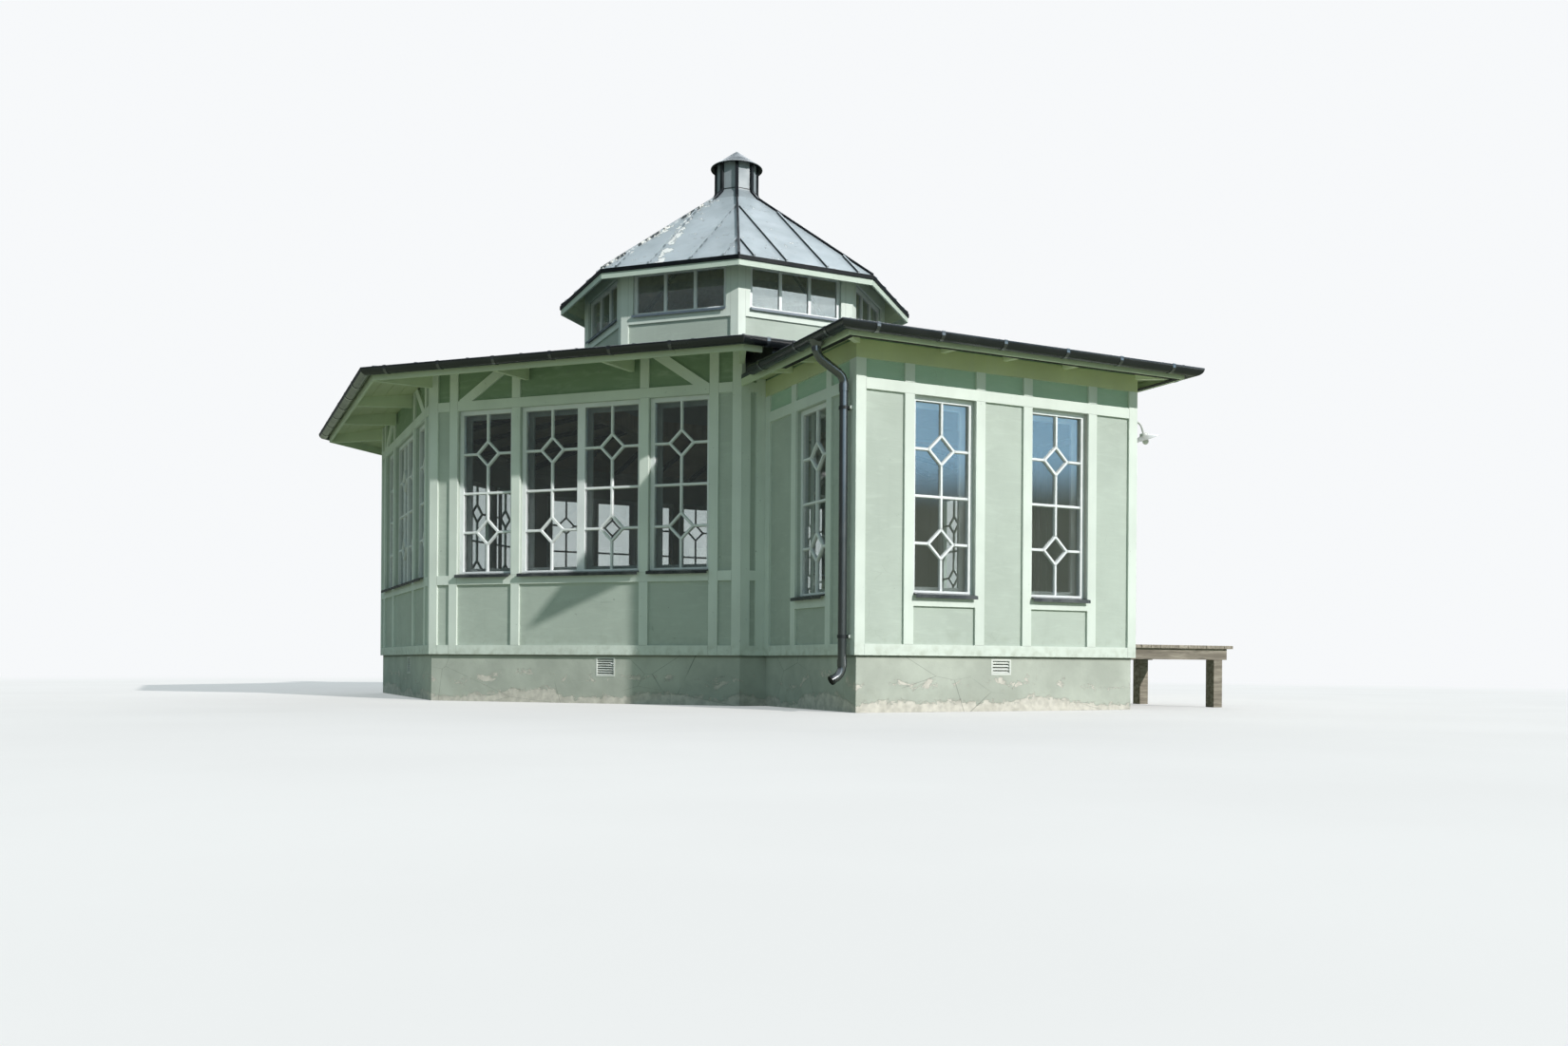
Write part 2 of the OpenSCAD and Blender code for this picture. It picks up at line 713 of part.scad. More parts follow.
module annex_tail(start_a, stop_a) {
    run = stop_a - start_a;
    rotate([90, 0, -90]) linear_extrude(rafter_w, center = true)
        polygon([[start_a, annex_soffit_z(run) - annex_rafter_d],
            [stop_a - board_t, annex_soffit_z(board_t) - annex_rafter_d],
            [stop_a - board_t, annex_soffit_z(board_t)], [start_a, annex_soffit_z(run)]]);
}

// The tail along a hip of the annex, square to neither wall
module annex_hip_tail() {
    drop = rafter_w / 2 * sin(45) * annex_slope;
    reach = annex_fascia_x - board_t - annex_w / 2;
    start = -20;
    stop = reach * sqrt(2) + 60;
    start_z = annex_soffit_z(board_t + reach - start / sqrt(2)) - drop;
    stop_z = annex_soffit_z(board_t + reach - stop / sqrt(2)) - drop;
    intersection() {
        translate([-annex_w / 2, -end_a, 0]) rotate([0, 0, -45])
            rotate([90, 0, -90]) linear_extrude(rafter_w, center = true)
                polygon([[start, start_z - annex_rafter_d], [stop, stop_z - annex_rafter_d],
                    [stop, stop_z], [start, start_z]]);
        linear_extrude(eave_z) difference() {
            translate([-annex_fascia_x + board_t, -annex_fascia_a + board_t]) square(annex_fascia_x);
            translate([-annex_w / 2, -end_a]) square(annex_w);
        }
    }
}

// Roofs

module pavilion_roof() color([0.33, 0.36, 0.38]) placed() on_sides([0 : 7])
    sector([[fascia_a, eave_z], [fascia_a, eave_z + roof_t], [lantern_a, soffit_z(lantern_a) + roof_t],
        [lantern_a, soffit_z(lantern_a)]], fascia_a, joint);

// The annex has two long slopes and a hipped end
module annex_roof() color([0.33, 0.36, 0.38]) placed() {
    apex_a = annex_fascia_a - annex_fascia_x;
    slab = [[annex_fascia_x, annex_eave_z], [annex_fascia_x, annex_eave_z + roof_t],
        [0, annex_soffit_z(annex_fascia_x) + roof_t], [0, annex_soffit_z(annex_fascia_x)]];
    for (m = [0, 1]) mirror([m, 0, 0]) intersection() {
        annex_left() rotate([90, 0, -90]) linear_extrude(4 * end_a, center = true) polygon(slab);
        linear_extrude(eave_z) polygon([[-annex_fascia_x, -annex_fascia_a + joint],
            [-joint / 2, -apex_a + joint], [-joint / 2, -wall_a], [-annex_fascia_x, -wall_a]]);
    }
    intersection() {
        translate([0, -apex_a, 0]) rotate([90, 0, -90]) linear_extrude(2 * annex_fascia_x, center = true)
            polygon(slab);
        linear_extrude(eave_z)
            polygon([[-annex_fascia_x, -annex_fascia_a], [annex_fascia_x, -annex_fascia_a], [0, -apex_a]]);
    }
}

// A roll of height h along a hip, from radius r0 and height z0 up to radius r1 and height z1
module roll(r0, z0, r1, z1, h = seam_h) {
    sunk = 20;
    rotate([90, 0, -90]) linear_extrude(1.3 * seam_w, center = true)
        polygon([[r0, z0 - sunk], [r0, z0 + h], [r1, z1 + h], [r1, z1 - sunk]]);
}

// All that lies under a slope that starts at distance a0 and height z0 and passes a1 and z1
module under(a0, z0, a1, z1) rotate([90, 0, -90]) linear_extrude(4 * a0, center = true)
    polygon([[a0, z0], [a1, z1], [a1, 0], [a0, 0]]);

// A straight seam of height h on a slope, between distances a0 and a1
module seam(a0, z0, a1, z1, h = seam_h) rotate([90, 0, -90]) linear_extrude(seam_w, center = true)
    polygon([[a0, z0], [a0, z0 + h], [a1, z1 + h], [a1, z1]]);

// Distance at which a seam at x ends, just short of the roll along the hip
function short_of_hip(x) = (x + 1.5 * seam_w) / tan(half);
function roof_top_z(a) = soffit_z(a) + roof_t;
function annex_top_z(run) = annex_soffit_z(run) + roof_t;

module pavilion_seams() color([0.22, 0.25, 0.28]) placed() on_sides([0 : 7]) {
    foot_a = lantern_a + fit;
    for (n = [0 : floor(fascia_a * tan(half) / seam_step - 0.8)]) for (s = [-1, 1]) {
        x = (n + 0.5) * seam_step;
        top_a = max(foot_a, short_of_hip(x));
        translate([s * x, 0, 0]) seam(fascia_a, roof_top_z(fascia_a), top_a, roof_top_z(top_a));
    }
    difference() {
        rotate([0, 0, half]) roll(fascia_a / cos(half), roof_top_z(fascia_a), foot_a / cos(half) + seam_w,
            roof_top_z(foot_a + seam_w * cos(half)));
        intersection() {
            under(2 * fascia_a, roof_top_z(2 * fascia_a), 0, roof_top_z(0));
            rotate([0, 0, 2 * half]) under(2 * fascia_a, roof_top_z(2 * fascia_a), 0, roof_top_z(0));
        }
    }
}

// The seams of the annex, which stop short of the pavilion's gutter
module annex_seams() color([0.22, 0.25, 0.28]) placed() {
    apex_a = annex_fascia_a - annex_fascia_x;
    stop_a = fascia_a + gutter_w + board_t;
    for (n = [0 : floor(annex_fascia_x / seam_step - 0.8)]) for (s = [-1, 1]) {
        x = (n + 0.5) * seam_step;
        top_a = max(stop_a, apex_a + x + 2 * seam_w);
        translate([s * x, 0, 0])
            seam(annex_fascia_a, annex_top_z(0), top_a, annex_top_z(annex_fascia_a - top_a));
    }
    for (n = [1 : floor((annex_fascia_a - stop_a) / seam_step)]) for (m = [0, 1]) mirror([m, 0, 0]) {
        y = annex_fascia_a - n * seam_step;
        top_x = y - apex_a + 2 * seam_w;
        annex_left() translate([y, 0, 0])
            seam(annex_fascia_x, annex_top_z(0), top_x, annex_top_z(annex_fascia_x - top_x));
    }
    for (m = [0, 1]) mirror([m, 0, 0]) difference() {
        run = annex_fascia_a - stop_a - seam_w;
        beyond = 500;
        translate([-annex_fascia_x, -annex_fascia_a, 0]) rotate([0, 0, -45]) mirror([0, 1, 0])
            roll(0, annex_top_z(0), run * sqrt(2), annex_top_z(run));
        intersection() {
            under(annex_fascia_a + beyond, annex_top_z(-beyond), apex_a, annex_top_z(annex_fascia_x));
            annex_left()
                under(annex_fascia_x + beyond, annex_top_z(-beyond), 0, annex_top_z(annex_fascia_x));
        }
    }
}

// Dark sheet that closes the gap between the annex roof and the pavilion eaves
module eave_cheeks() color([0.20, 0.21, 0.23]) placed() {
    sheet = 12;
    foot_z = annex_eave_z + roof_t;
    cheek_x = annex_fascia_x - 2 * board_t;
    for (m = [0, 1]) mirror([m, 0, 0]) {
        intersection() {
            plate(tail_a, sheet) polygon([[-cheek_x, foot_z + (annex_fascia_x - cheek_x) * annex_slope],
                [-joint, foot_z + (annex_fascia_x - joint) * annex_slope], [-joint, soffit_z(tail_a + sheet)],
                [-cheek_x, soffit_z(tail_a + sheet)]]);
            octagon(fascia_a, 0, 2 * eave_z);
        }
        rotate([90, 0, -90]) translate([0, 0, cheek_x - sheet]) linear_extrude(sheet)
            polygon([[wall_a + fit, foot_z + (annex_fascia_x - cheek_x + sheet) * annex_slope],
                [tail_a, foot_z + (annex_fascia_x - cheek_x + sheet) * annex_slope],
                [tail_a, soffit_z(tail_a)], [wall_a + fit, soffit_z(wall_a + fit)]]);
    }
}

// Fascias

module pavilion_fascia() color([0.70, 0.78, 0.60]) placed() {
    stub_x = annex_fascia_x + gutter_w / 2;
    outline = [[tail_a, eave_z - fascia_h], [fascia_a, eave_z - fascia_h], [fascia_a, eave_z],
        [tail_a, soffit_z(tail_a)]];
    on_sides([1 : 7]) sector(outline, fascia_a, joint);
    difference() {
        sector(outline, fascia_a, joint);
        translate([-stub_x, -2 * fascia_a, 0]) cube([2 * stub_x, 2 * fascia_a, 2 * eave_z]);
    }
}

module annex_fascia() color([0.72, 0.80, 0.62]) placed() {
    outline_z = annex_eave_z - annex_fascia_h;
    back_a = annex_fascia_a - board_t;
    rotate([90, 0, -90]) linear_extrude(2 * annex_fascia_x, center = true)
        polygon([[back_a, outline_z], [annex_fascia_a, outline_z], [annex_fascia_a, annex_eave_z],
            [back_a, annex_soffit_z(board_t)]]);
    for (m = [0, 1]) mirror([m, 0, 0]) annex_left() {
        length = back_a - joint - wall_a - fit;
        translate([wall_a + fit + length / 2, 0, 0]) rotate([90, 0, -90])
            linear_extrude(length, center = true)
                polygon([[annex_fascia_x - board_t, outline_z], [annex_fascia_x, outline_z],
                    [annex_fascia_x, annex_eave_z], [annex_fascia_x - board_t, annex_soffit_z(board_t)]]);
    }
}

// Gutters

// The section of a half-round gutter with a rolled lip, whose back touches distance a
module gutter_outline(a, z) {
    r = gutter_w / 2;
    bead = 8;
    difference() {
        translate([a + r, z]) circle(r);
        translate([a + r, z]) circle(r - gutter_t);
        translate([a - 1, z]) square([2 * r + 2, r + 1]);
    }
    translate([a + 2 * r - bead, z]) circle(bead);
}

// A stop end for the same gutter
module gutter_end(a, z) {
    intersection() {
        translate([a + gutter_w / 2, z]) circle(gutter_w / 2);
        translate([a, z - gutter_w]) square([gutter_w, gutter_w]);
    }
}

gutter_lift = 12;

module pavilion_gutters() color([0.11, 0.12, 0.13]) placed() {
    rim_z = eave_z + gutter_lift;
    reach = fascia_a + gutter_w + 20;
    on_sides([1 : 7]) intersection() {
        rotate([90, 0, -90]) linear_extrude(2 * reach, center = true) gutter_outline(fascia_a, rim_z);
        eighth(reach, joint);
    }
    // Where the annex roof comes up to the gutter, the gutter stops
    room = annex_drop - roof_t - (gutter_w / 2 - gutter_lift) - 4 * fit;
    stop_x = annex_fascia_x - room / annex_slope;
    for (m = [0, 1]) mirror([m, 0, 0]) intersection() {
        union() {
            rotate([90, 0, -90]) linear_extrude(2 * reach, center = true) gutter_outline(fascia_a, rim_z);
            rotate([90, 0, -90]) translate([0, 0, stop_x]) linear_extrude(gutter_t)
                gutter_end(fascia_a, rim_z);
        }
        eighth(reach, joint);
        translate([-2 * reach, -2 * reach, 0]) cube([2 * reach - stop_x, 2 * reach, 2 * eave_z]);
    }
}

module annex_gutters() color([0.11, 0.12, 0.13]) placed() {
    rim_z = annex_eave_z + gutter_lift;
    lip_x = annex_fascia_x + gutter_w;
    lip_a = annex_fascia_a + gutter_w;
    stop_a = wall_a + annex_gutter_gap;
    intersection() {
        rotate([90, 0, -90]) linear_extrude(3 * annex_w, center = true) gutter_outline(annex_fascia_a, rim_z);
        linear_extrude(eave_z) polygon([[-annex_fascia_x, -annex_fascia_a], [-lip_x, -lip_a],
            [lip_x, -lip_a], [annex_fascia_x, -annex_fascia_a]]);
    }
    for (m = [0, 1]) mirror([m, 0, 0]) intersection() {
        annex_left() {
            rotate([90, 0, -90]) linear_extrude(4 * end_a, center = true)
                gutter_outline(annex_fascia_x, rim_z);
            translate([stop_a, 0, 0]) rotate([90, 0, -90]) mirror([0, 0, 1]) linear_extrude(gutter_t)
                gutter_end(annex_fascia_x, rim_z);
        }
        linear_extrude(eave_z) polygon([[-annex_fascia_x, -annex_fascia_a + joint], [-lip_x, -lip_a + joint],
            [-lip_x, -stop_a], [-annex_fascia_x, -stop_a]]);
    }
}

// Downpipe

pipe_y = end_a - 110;
pipe_x = annex_w / 2 + pipe_gap + pipe_d / 2;
outlet_x = annex_fascia_x + gutter_w / 2;
// Angle of the swan neck, whose two bends and the straight between them make up the offset
neck_angle = 60;
neck_run = outlet_x - pipe_x;
neck_straight = (neck_run - 2 * bend_r * (1 - cos(neck_angle))) / sin(neck_angle);
outlet_z = annex_eave_z + gutter_lift - gutter_w / 2 - 40;
neck_drop = 2 * bend_r * sin(neck_angle) + neck_straight * cos(neck_angle);
pipe_top_z = outlet_z - neck_drop;
shoe_angle = 62;
shoe_z = 390;
// Wall of the sleeves that join the lengths of pipe, and their length
sleeve_t = 4;
sleeve_l = 60;

// A bend that starts at the origin, pointing down, and turns towards +x
module bend(angle) {
    translate([bend_r, 0, 0]) rotate([90, 0, 0]) rotate([0, 0, 180])
        rotate_extrude(angle = angle) translate([bend_r, 0]) circle(d = pipe_d);
}

module downpipe() color([0.17, 0.18, 0.20]) placed() translate([-outlet_x, -pipe_y, 0]) {
    rim_z = annex_eave_z + gutter_lift;
    lower_x = bend_r * (1 - cos(neck_angle)) + neck_straight * sin(neck_angle);
    // Funnel that hangs from the gutter
    sleeve_d = pipe_d + 2 * sleeve_t;
    foot_z = outlet_z - sleeve_l / 2;
    cone_z = rim_z - gutter_w / 2 - sleeve_l / 2;
    cone_h = rim_z - gutter_w / 3 - cone_z;
    difference() {
        union() {
            translate([0, 0, foot_z]) cylinder(d = sleeve_d, h = cone_z - foot_z + 1);
            translate([0, 0, cone_z]) cylinder(d1 = sleeve_d, d2 = gutter_w + 2 * gutter_t, h = cone_h);
        }
        translate([0, 0, rim_z]) rotate([90, 0, 0]) cylinder(d = gutter_w, h = 2 * gutter_w, center = true);
    }
    translate([0, 0, outlet_z]) bend(neck_angle);
    translate([bend_r * (1 - cos(neck_angle)), 0, outlet_z - bend_r * sin(neck_angle)])
        rotate([0, -neck_angle, 0]) translate([0, 0, -neck_straight - 8])
            cylinder(d = pipe_d + 2, h = neck_straight + 16);
    translate([neck_run, 0, pipe_top_z]) rotate([0, 180, 0]) bend(neck_angle);
    translate([neck_run, 0, pipe_top_z - sleeve_l]) cylinder(d = pipe_d + 2 * sleeve_t, h = sleeve_l + 4);
    translate([neck_run, 0, shoe_z + 10]) cylinder(d = pipe_d, h = pipe_top_z - shoe_z - 20);
    translate([neck_run, 0, shoe_z - 4]) cylinder(d = pipe_d + 2 * sleeve_t, h = sleeve_l);
    translate([neck_run, 0, shoe_z]) mirror([1, 0, 0]) {
        bend(shoe_angle);
        translate([bend_r * (1 - cos(shoe_angle)), 0, -bend_r * sin(shoe_angle)])
            rotate([0, -shoe_angle, 0]) translate([0, 0, -45]) cylinder(d = pipe_d + 2, h = 53);
    }
}

module pipe_clamps() color([0.15, 0.16, 0.18]) placed() translate([-pipe_x, -pipe_y, 0])
    for (z = [plinth_h + 155, annex_head_z - 160]) translate([0, 0, z]) difference() {
        union() {
            cylinder(d = pipe_d + 10, h = 28, center = true);
            translate([0, -9, -14]) cube([pipe_x - annex_w / 2, 18, 28]);
        }
        cylinder(d = pipe_d, h = 40, center = true);
    }

// Lantern

module lantern_curb() color([0.45, 0.36, 0.26]) placed() {
    depth = 220;
    curb_a = lantern_inner_a - 60;
    on_sides([0 : 7]) sector([[curb_a, lantern_z - depth], [lantern_a, lantern_z - depth],
        [lantern_a, lantern_z], [curb_a, lantern_z]], lantern_a, joint);
}

module lantern_walls() color([0.66, 0.75, 0.68]) placed() on_sides([0 : 7]) difference() {
    sector([[lantern_inner_a, lantern_z], [lantern_panel_a, lantern_z],
        [lantern_panel_a, lantern_soffit_z(lantern_panel_a)],
        [lantern_inner_a, lantern_soffit_z(lantern_inner_a)]], lantern_panel_a, joint);
    plate(lantern_inner_a - 1, lantern_wall_t + 2) bay(0, lantern_window_w, lantern_window_z, lantern_head_z);
}

module lantern_boards() color([0.78, 0.86, 0.78]) placed() on_sides([0 : 7]) intersection() {
    plate(lantern_panel_a, board_t) difference() {
        bay(0, lantern_side, lantern_z, lantern_soffit_z(lantern_a));
        bay(0, lantern_side - 2 * board_w, lantern_z + board_w, lantern_sill_z);
        bay(0, lantern_window_w, lantern_window_z, lantern_head_z);
    }
    eighth(lantern_a, joint);
}

lantern_reveal = 40;
lantern_frame_d = 45;

module lantern_window_frames() color("white") placed() on_sides([0 : 7])
    plate(lantern_a - lantern_reveal - lantern_frame_d, lantern_frame_d)
        frame_outline(0, lantern_window_w, lantern_window_z, lantern_head_z, 3, mullion_w);

module lantern_glass() color([0.65, 0.75, 0.80]) placed() on_sides([0 : 7])
    plate(lantern_a - lantern_reveal - lantern_frame_d / 2 - glass_t / 2, glass_t)
        pane_outline(0, lantern_window_w, lantern_window_z, lantern_head_z, 3, mullion_w);

module lantern_sills() color([0.45, 0.52, 0.60]) placed() on_sides([0 : 7]) {
    z = lantern_window_z;
    outline = [[lantern_a - lantern_reveal, z], [lantern_a + 30, z], [lantern_a + 30, z - 20],
        [lantern_a + 34, z - 20], [lantern_a + 34, z + 6], [lantern_a - lantern_reveal, z + 22]];
    rotate([90, 0, -90]) linear_extrude(lantern_window_w, center = true) polygon(outline);
}

module lantern_fascia() color([0.74, 0.83, 0.70]) placed() on_sides([0 : 7])
    sector([[lantern_edge_a - board_t, lantern_eave_z - lantern_fascia_h],
        [lantern_edge_a, lantern_eave_z - lantern_fascia_h], [lantern_edge_a, lantern_eave_z],
        [lantern_edge_a - board_t, lantern_soffit_z(lantern_edge_a - board_t)]], lantern_edge_a, joint);

module lantern_drip_edge() color([0.12, 0.13, 0.15]) placed() on_sides([0 : 7])
    sector([[lantern_edge_a, lantern_eave_z], [drip_a, lantern_eave_z], [drip_a, lantern_eave_z + drip_h],
        [lantern_edge_a, lantern_eave_z + drip_h]], drip_a, joint);

module lantern_roof() color([0.62, 0.67, 0.70]) placed() on_sides([0 : 7])
    sector([[lantern_edge_a, lantern_eave_z], [lantern_edge_a, lantern_eave_z + drip_h],
        [shaft_a, lantern_top_z(shaft_a)], [shaft_a, lantern_soffit_z(shaft_a)]], lantern_edge_a, joint);

module lantern_seams() color([0.22, 0.25, 0.28]) placed() on_sides([0 : 7]) {
    for (x = [-seam_outer_x, -seam_inner_x, seam_inner_x, seam_outer_x]) {
        top_a = max(short_of_hip(abs(x)), skirt_a + 2 * fit);
        translate([x, 0, 0])
            seam(lantern_edge_a, lantern_top_z(lantern_edge_a), top_a, lantern_top_z(top_a), lantern_seam_h);
    }
    hip_seam();
}

// A roll along the hip between two roof sides, hollowed to sit astride both
module hip_seam() difference() {
    stop_r = skirt_r + vent_roll_h + fit;
    rotate([0, 0, half]) roll(lantern_edge_a / cos(half), lantern_top_z(lantern_edge_a), stop_r,
        lantern_top_z(stop_r * cos(half)), lantern_seam_h);
    intersection() {
        under(2 * drip_a, lantern_top_z(2 * drip_a), 0, lantern_top_z(0));
        rotate([0, 0, 2 * half]) under(2 * drip_a, lantern_top_z(2 * drip_a), 0, lantern_top_z(0));
    }
}

// Vent

module vent_shaft() color([0.55, 0.60, 0.64]) placed()
    octagon(shaft_a, lantern_soffit_z(shaft_a), cap_z);

// The curve from the flared foot up into the shaft
flare_curve = [for (n = [4 : -1 : 0]) [shaft_a + flare_r * (1 - cos(n * flare_turn / 4)),
    shaft_z - flare_r * sin(n * flare_turn / 4)]];

// The flared foot of the shaft, in eight curved pieces
module vent_skirt() color([0.55, 0.60, 0.64]) placed() {
    foot = [[shaft_a, lantern_top_z(shaft_a)], [skirt_a, flare_z]];
    on_sides([0 : 7]) sector(concat(foot, flare_curve), skirt_a, joint);
}

// Rolls that carry the hips on up the corners of the flared foot and the shaft
module vent_rolls() color([0.22, 0.25, 0.28]) placed() on_sides([0 : 7]) {
    top_z = cap_z - 30;
    sunk = 12;
    inner_r = shaft_r / 2;
    foot_r = skirt_r + vent_roll_h;
    foot_z = lantern_top_z(foot_r * cos(half)) - sunk;
    surface = concat([[skirt_a, flare_z]], flare_curve, [[shaft_a, top_z]]);
    outer = [for (p = surface) [p.x / cos(half) + vent_roll_h, p.y]];
    difference() {
        rotate([0, 0, half]) rotate([90, 0, -90]) linear_extrude(vent_roll_w, center = true)
            polygon(concat([[inner_r, foot_z], [foot_r, foot_z]], outer, [[inner_r, top_z]]));
        intersection() {
            under_vent();
            rotate([0, 0, 2 * half]) under_vent();
        }
    }
}

// All that lies under one side of the roof, the flared foot and the shaft
module under_vent() {
    low_a = skirt_a + 4 * vent_roll_h;
    low_z = lantern_top_z(low_a);
    rotate([90, 0, -90]) linear_extrude(4 * low_a, center = true)
        polygon(concat([[0, low_z - 1], [low_a, low_z - 1], [low_a, low_z], [skirt_a, flare_z]],
            flare_curve, [[shaft_a, cap_z], [0, cap_z]]));
}

module vent_cap() color([0.38, 0.43, 0.48]) placed() {
    rim_z = cap_z - 45;
    hub_r = shaft_r - 25;
    rotate_extrude($fn = 96) {
        polygon([[0, cap_z], [hub_r, cap_z], [hub_r, rim_z + (cap_r - hub_r) * cap_slope - cap_t],
            [cap_r, rim_z - cap_t], [cap_r, rim_z], [0, rim_z + cap_h]]);
        translate([cap_r - 3, rim_z - 5]) circle(9, $fn = 24);
    }
}

// Lamp beside the entrance, on the head rail of the annex side

lamp_y = (door_x + door_w / 2 + board_w + end_a - board_t - board_w) / 2;
lamp_z = annex_head_z + board_w / 2;
arm_r = 9;

// The lamp laid out along x from the boards, on the right side of the annex
module on_lamp() placed() translate([annex_w / 2, -lamp_y, lamp_z]) children();

// The head of the shade, whose axis leans out from the wall
module on_lamp_head() on_lamp() translate([lamp_reach, 0, -lamp_bend_r * (1 - sin(lamp_tilt))
    - lamp_neck * cos(lamp_tilt)]) rotate([0, -lamp_tilt, 0]) children();

module lamp_arm() color([0.75, 0.76, 0.75]) {
    plate_t = 14;
    lap = 6;
    bend_x = lamp_reach - lamp_bend_r * cos(lamp_tilt) - lamp_neck * sin(lamp_tilt);
    on_lamp() rotate([0, 90, 0]) {
        cylinder(r = board_w / 2 - 5, h = plate_t);
        cylinder(r = arm_r + 1, h = bend_x + lap);
    }
    on_lamp() translate([bend_x, 0, -lamp_bend_r]) rotate([90, 0, 0]) rotate([0, 0, lamp_tilt])
        rotate_extrude(angle = 90 - lamp_tilt) translate([lamp_bend_r, 0]) circle(arm_r);
    on_lamp_head() cylinder(r = arm_r + 1, h = lamp_neck + lap);
}

module lamp_shade() color([0.86, 0.87, 0.86]) on_lamp_head() {
    sheet = 3;
    rotate_extrude() polygon([[0, 0], [34, 0], [40, -24], [shade_r, -62], [shade_r, -62 - sheet],
        [38, -24 - 2 * sheet], [30, -40], [0, -40]]);
}

module lamp_bulb() color([0.95, 0.95, 0.92]) on_lamp_head() {
    holder_h = 40;
    translate([0, 0, -holder_h - bulb_r * 1.5]) sphere(r = bulb_r);
    translate([0, 0, -holder_h - bulb_r]) cylinder(r = bulb_r / 2, h = bulb_r);
}

// Landing in front of the entrance

landing_y = door_x + 40;
plank_n = 13;
plank_over = 60;
beam_w = 60;
beam_l = landing_w - plank_over;
beam_z = floor_z - landing_drop - plank_t - beam_h;

module landing_planks() color([0.62, 0.58, 0.53]) placed() {
    top_z = floor_z - landing_drop;
    gap = 6;
    plank_w = (landing_w - fit) / plank_n - gap;
    for (n = [0 : plank_n - 1])
        translate([annex_w / 2 + fit + n * (plank_w + gap), -landing_y - landing_l / 2, top_z - plank_t])
            cube([plank_w, landing_l, plank_t]);
}

module landing_beams() color([0.58, 0.53, 0.48]) beam_places()
    translate([0, -beam_w / 2, beam_z]) cube([beam_l, beam_w, beam_h]);

// The outer ends stand on feet, and the inner ends are fixed to the annex
module landing_feet() color([0.50, 0.46, 0.42]) beam_places()
    translate([beam_l - foot_inset - foot_w, -foot_w / 2, 0]) cube([foot_w, foot_w, beam_z]);

// Repeats its children where the two beams start, against the annex boards
module beam_places() placed() for (s = [-1, 1])
    translate([annex_w / 2, -landing_y + s * (landing_l / 2 - beam_w), 0]) children();

plinth();
plinth_vents();
pavilion_floor();
annex_floor();
pavilion_wall_front();
pavilion_wall_front_left();
pavilion_wall_left();
pavilion_wall_back_left();
pavilion_wall_back();
pavilion_wall_back_right();
pavilion_wall_right();
pavilion_wall_front_right();
annex_wall_left();
annex_wall_end();
annex_wall_right();
pavilion_boards();
annex_boards();
pavilion_window_frames();
annex_window_frames();
window_glass();
window_sills();
door_frame();
entrance_door();
pavilion_rafters();
annex_rafters();
pavilion_roof();
annex_roof();
pavilion_seams();
annex_seams();
eave_cheeks();
pavilion_fascia();
annex_fascia();
pavilion_gutters();
annex_gutters();
downpipe();
pipe_clamps();
lantern_curb();
lantern_walls();
lantern_boards();
lantern_window_frames();
lantern_glass();
lantern_sills();
lantern_fascia();
lantern_drip_edge();
lantern_roof();
lantern_seams();
vent_shaft();
vent_skirt();
vent_rolls();
vent_cap();
lamp_arm();
lamp_shade();
lamp_bulb();
landing_planks();
landing_beams();
landing_feet();
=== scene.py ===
from math import cos, pi, radians, sin, sqrt, tan

import bmesh
import bpy
from mathutils import Matrix, Vector


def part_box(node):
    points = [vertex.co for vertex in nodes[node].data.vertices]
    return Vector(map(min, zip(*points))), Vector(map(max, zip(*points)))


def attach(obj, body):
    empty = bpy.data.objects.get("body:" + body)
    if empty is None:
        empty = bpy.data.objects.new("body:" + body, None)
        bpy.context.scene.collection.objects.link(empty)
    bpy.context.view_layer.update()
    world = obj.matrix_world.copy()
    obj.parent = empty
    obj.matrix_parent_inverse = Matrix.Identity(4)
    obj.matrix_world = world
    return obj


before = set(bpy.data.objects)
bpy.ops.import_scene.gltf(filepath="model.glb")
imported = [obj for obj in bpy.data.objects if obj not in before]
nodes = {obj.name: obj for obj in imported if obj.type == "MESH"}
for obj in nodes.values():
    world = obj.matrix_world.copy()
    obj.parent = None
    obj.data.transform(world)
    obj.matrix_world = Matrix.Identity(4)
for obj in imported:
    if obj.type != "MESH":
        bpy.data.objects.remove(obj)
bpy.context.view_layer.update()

# Looks of an octagonal garden pavilion with a lantern and an annex. Metres, +Z up.

materials = {}

# Sizes shared with the construction
BOARD_W = 0.095
BOARD_T = 0.022
BAND_H = 0.155
CORE_T = 0.12
LANTERN_CORE_T = 0.08
ROOF_T = 0.04
LANTERN_PITCH = radians(38)
GUTTER_R = 0.0625
GUTTER_LIFT = 0.012
HALF = radians(22.5)
TAN_HALF = tan(HALF)
SIDES = range(8)
TUBE_SIDES = 12

UP = Vector((0, 0, 1))
FLAT = Vector((1, 1, 0))


def middle(node):
    low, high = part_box(node)
    return (low + high) / 2


# Places from the frame; _A is a distance from the octagon's middle, at right angles to a side
MIDDLE = Vector((0, middle("lantern_roof").y, 0))
WALL_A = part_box("pavilion_boards")[1].y - MIDDLE.y
INNER_A = WALL_A - BOARD_T - CORE_T
FASCIA_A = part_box("pavilion_roof")[1].y - MIDDLE.y
LANTERN_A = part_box("lantern_boards")[1].y - MIDDLE.y
LANTERN_EDGE_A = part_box("lantern_roof")[1].y - MIDDLE.y
PLINTH_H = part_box("plinth")[1].z
FLOOR_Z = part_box("pavilion_floor")[1].z
HEAD_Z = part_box("pavilion_window_frames")[1].z
ANNEX_HEAD_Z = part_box("annex_window_frames")[1].z
BAND_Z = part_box("annex_boards")[1].z - BAND_H
EAVE_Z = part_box("pavilion_roof")[0].z
ROOF_TOP_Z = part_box("pavilion_roof")[1].z
LANTERN_EAVE_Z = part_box("lantern_roof")[0].z
ROOF_SLOPE = (ROOF_TOP_Z - ROOF_T - EAVE_Z) / (FASCIA_A - LANTERN_A)
LANTERN_SLOPE = tan(LANTERN_PITCH)


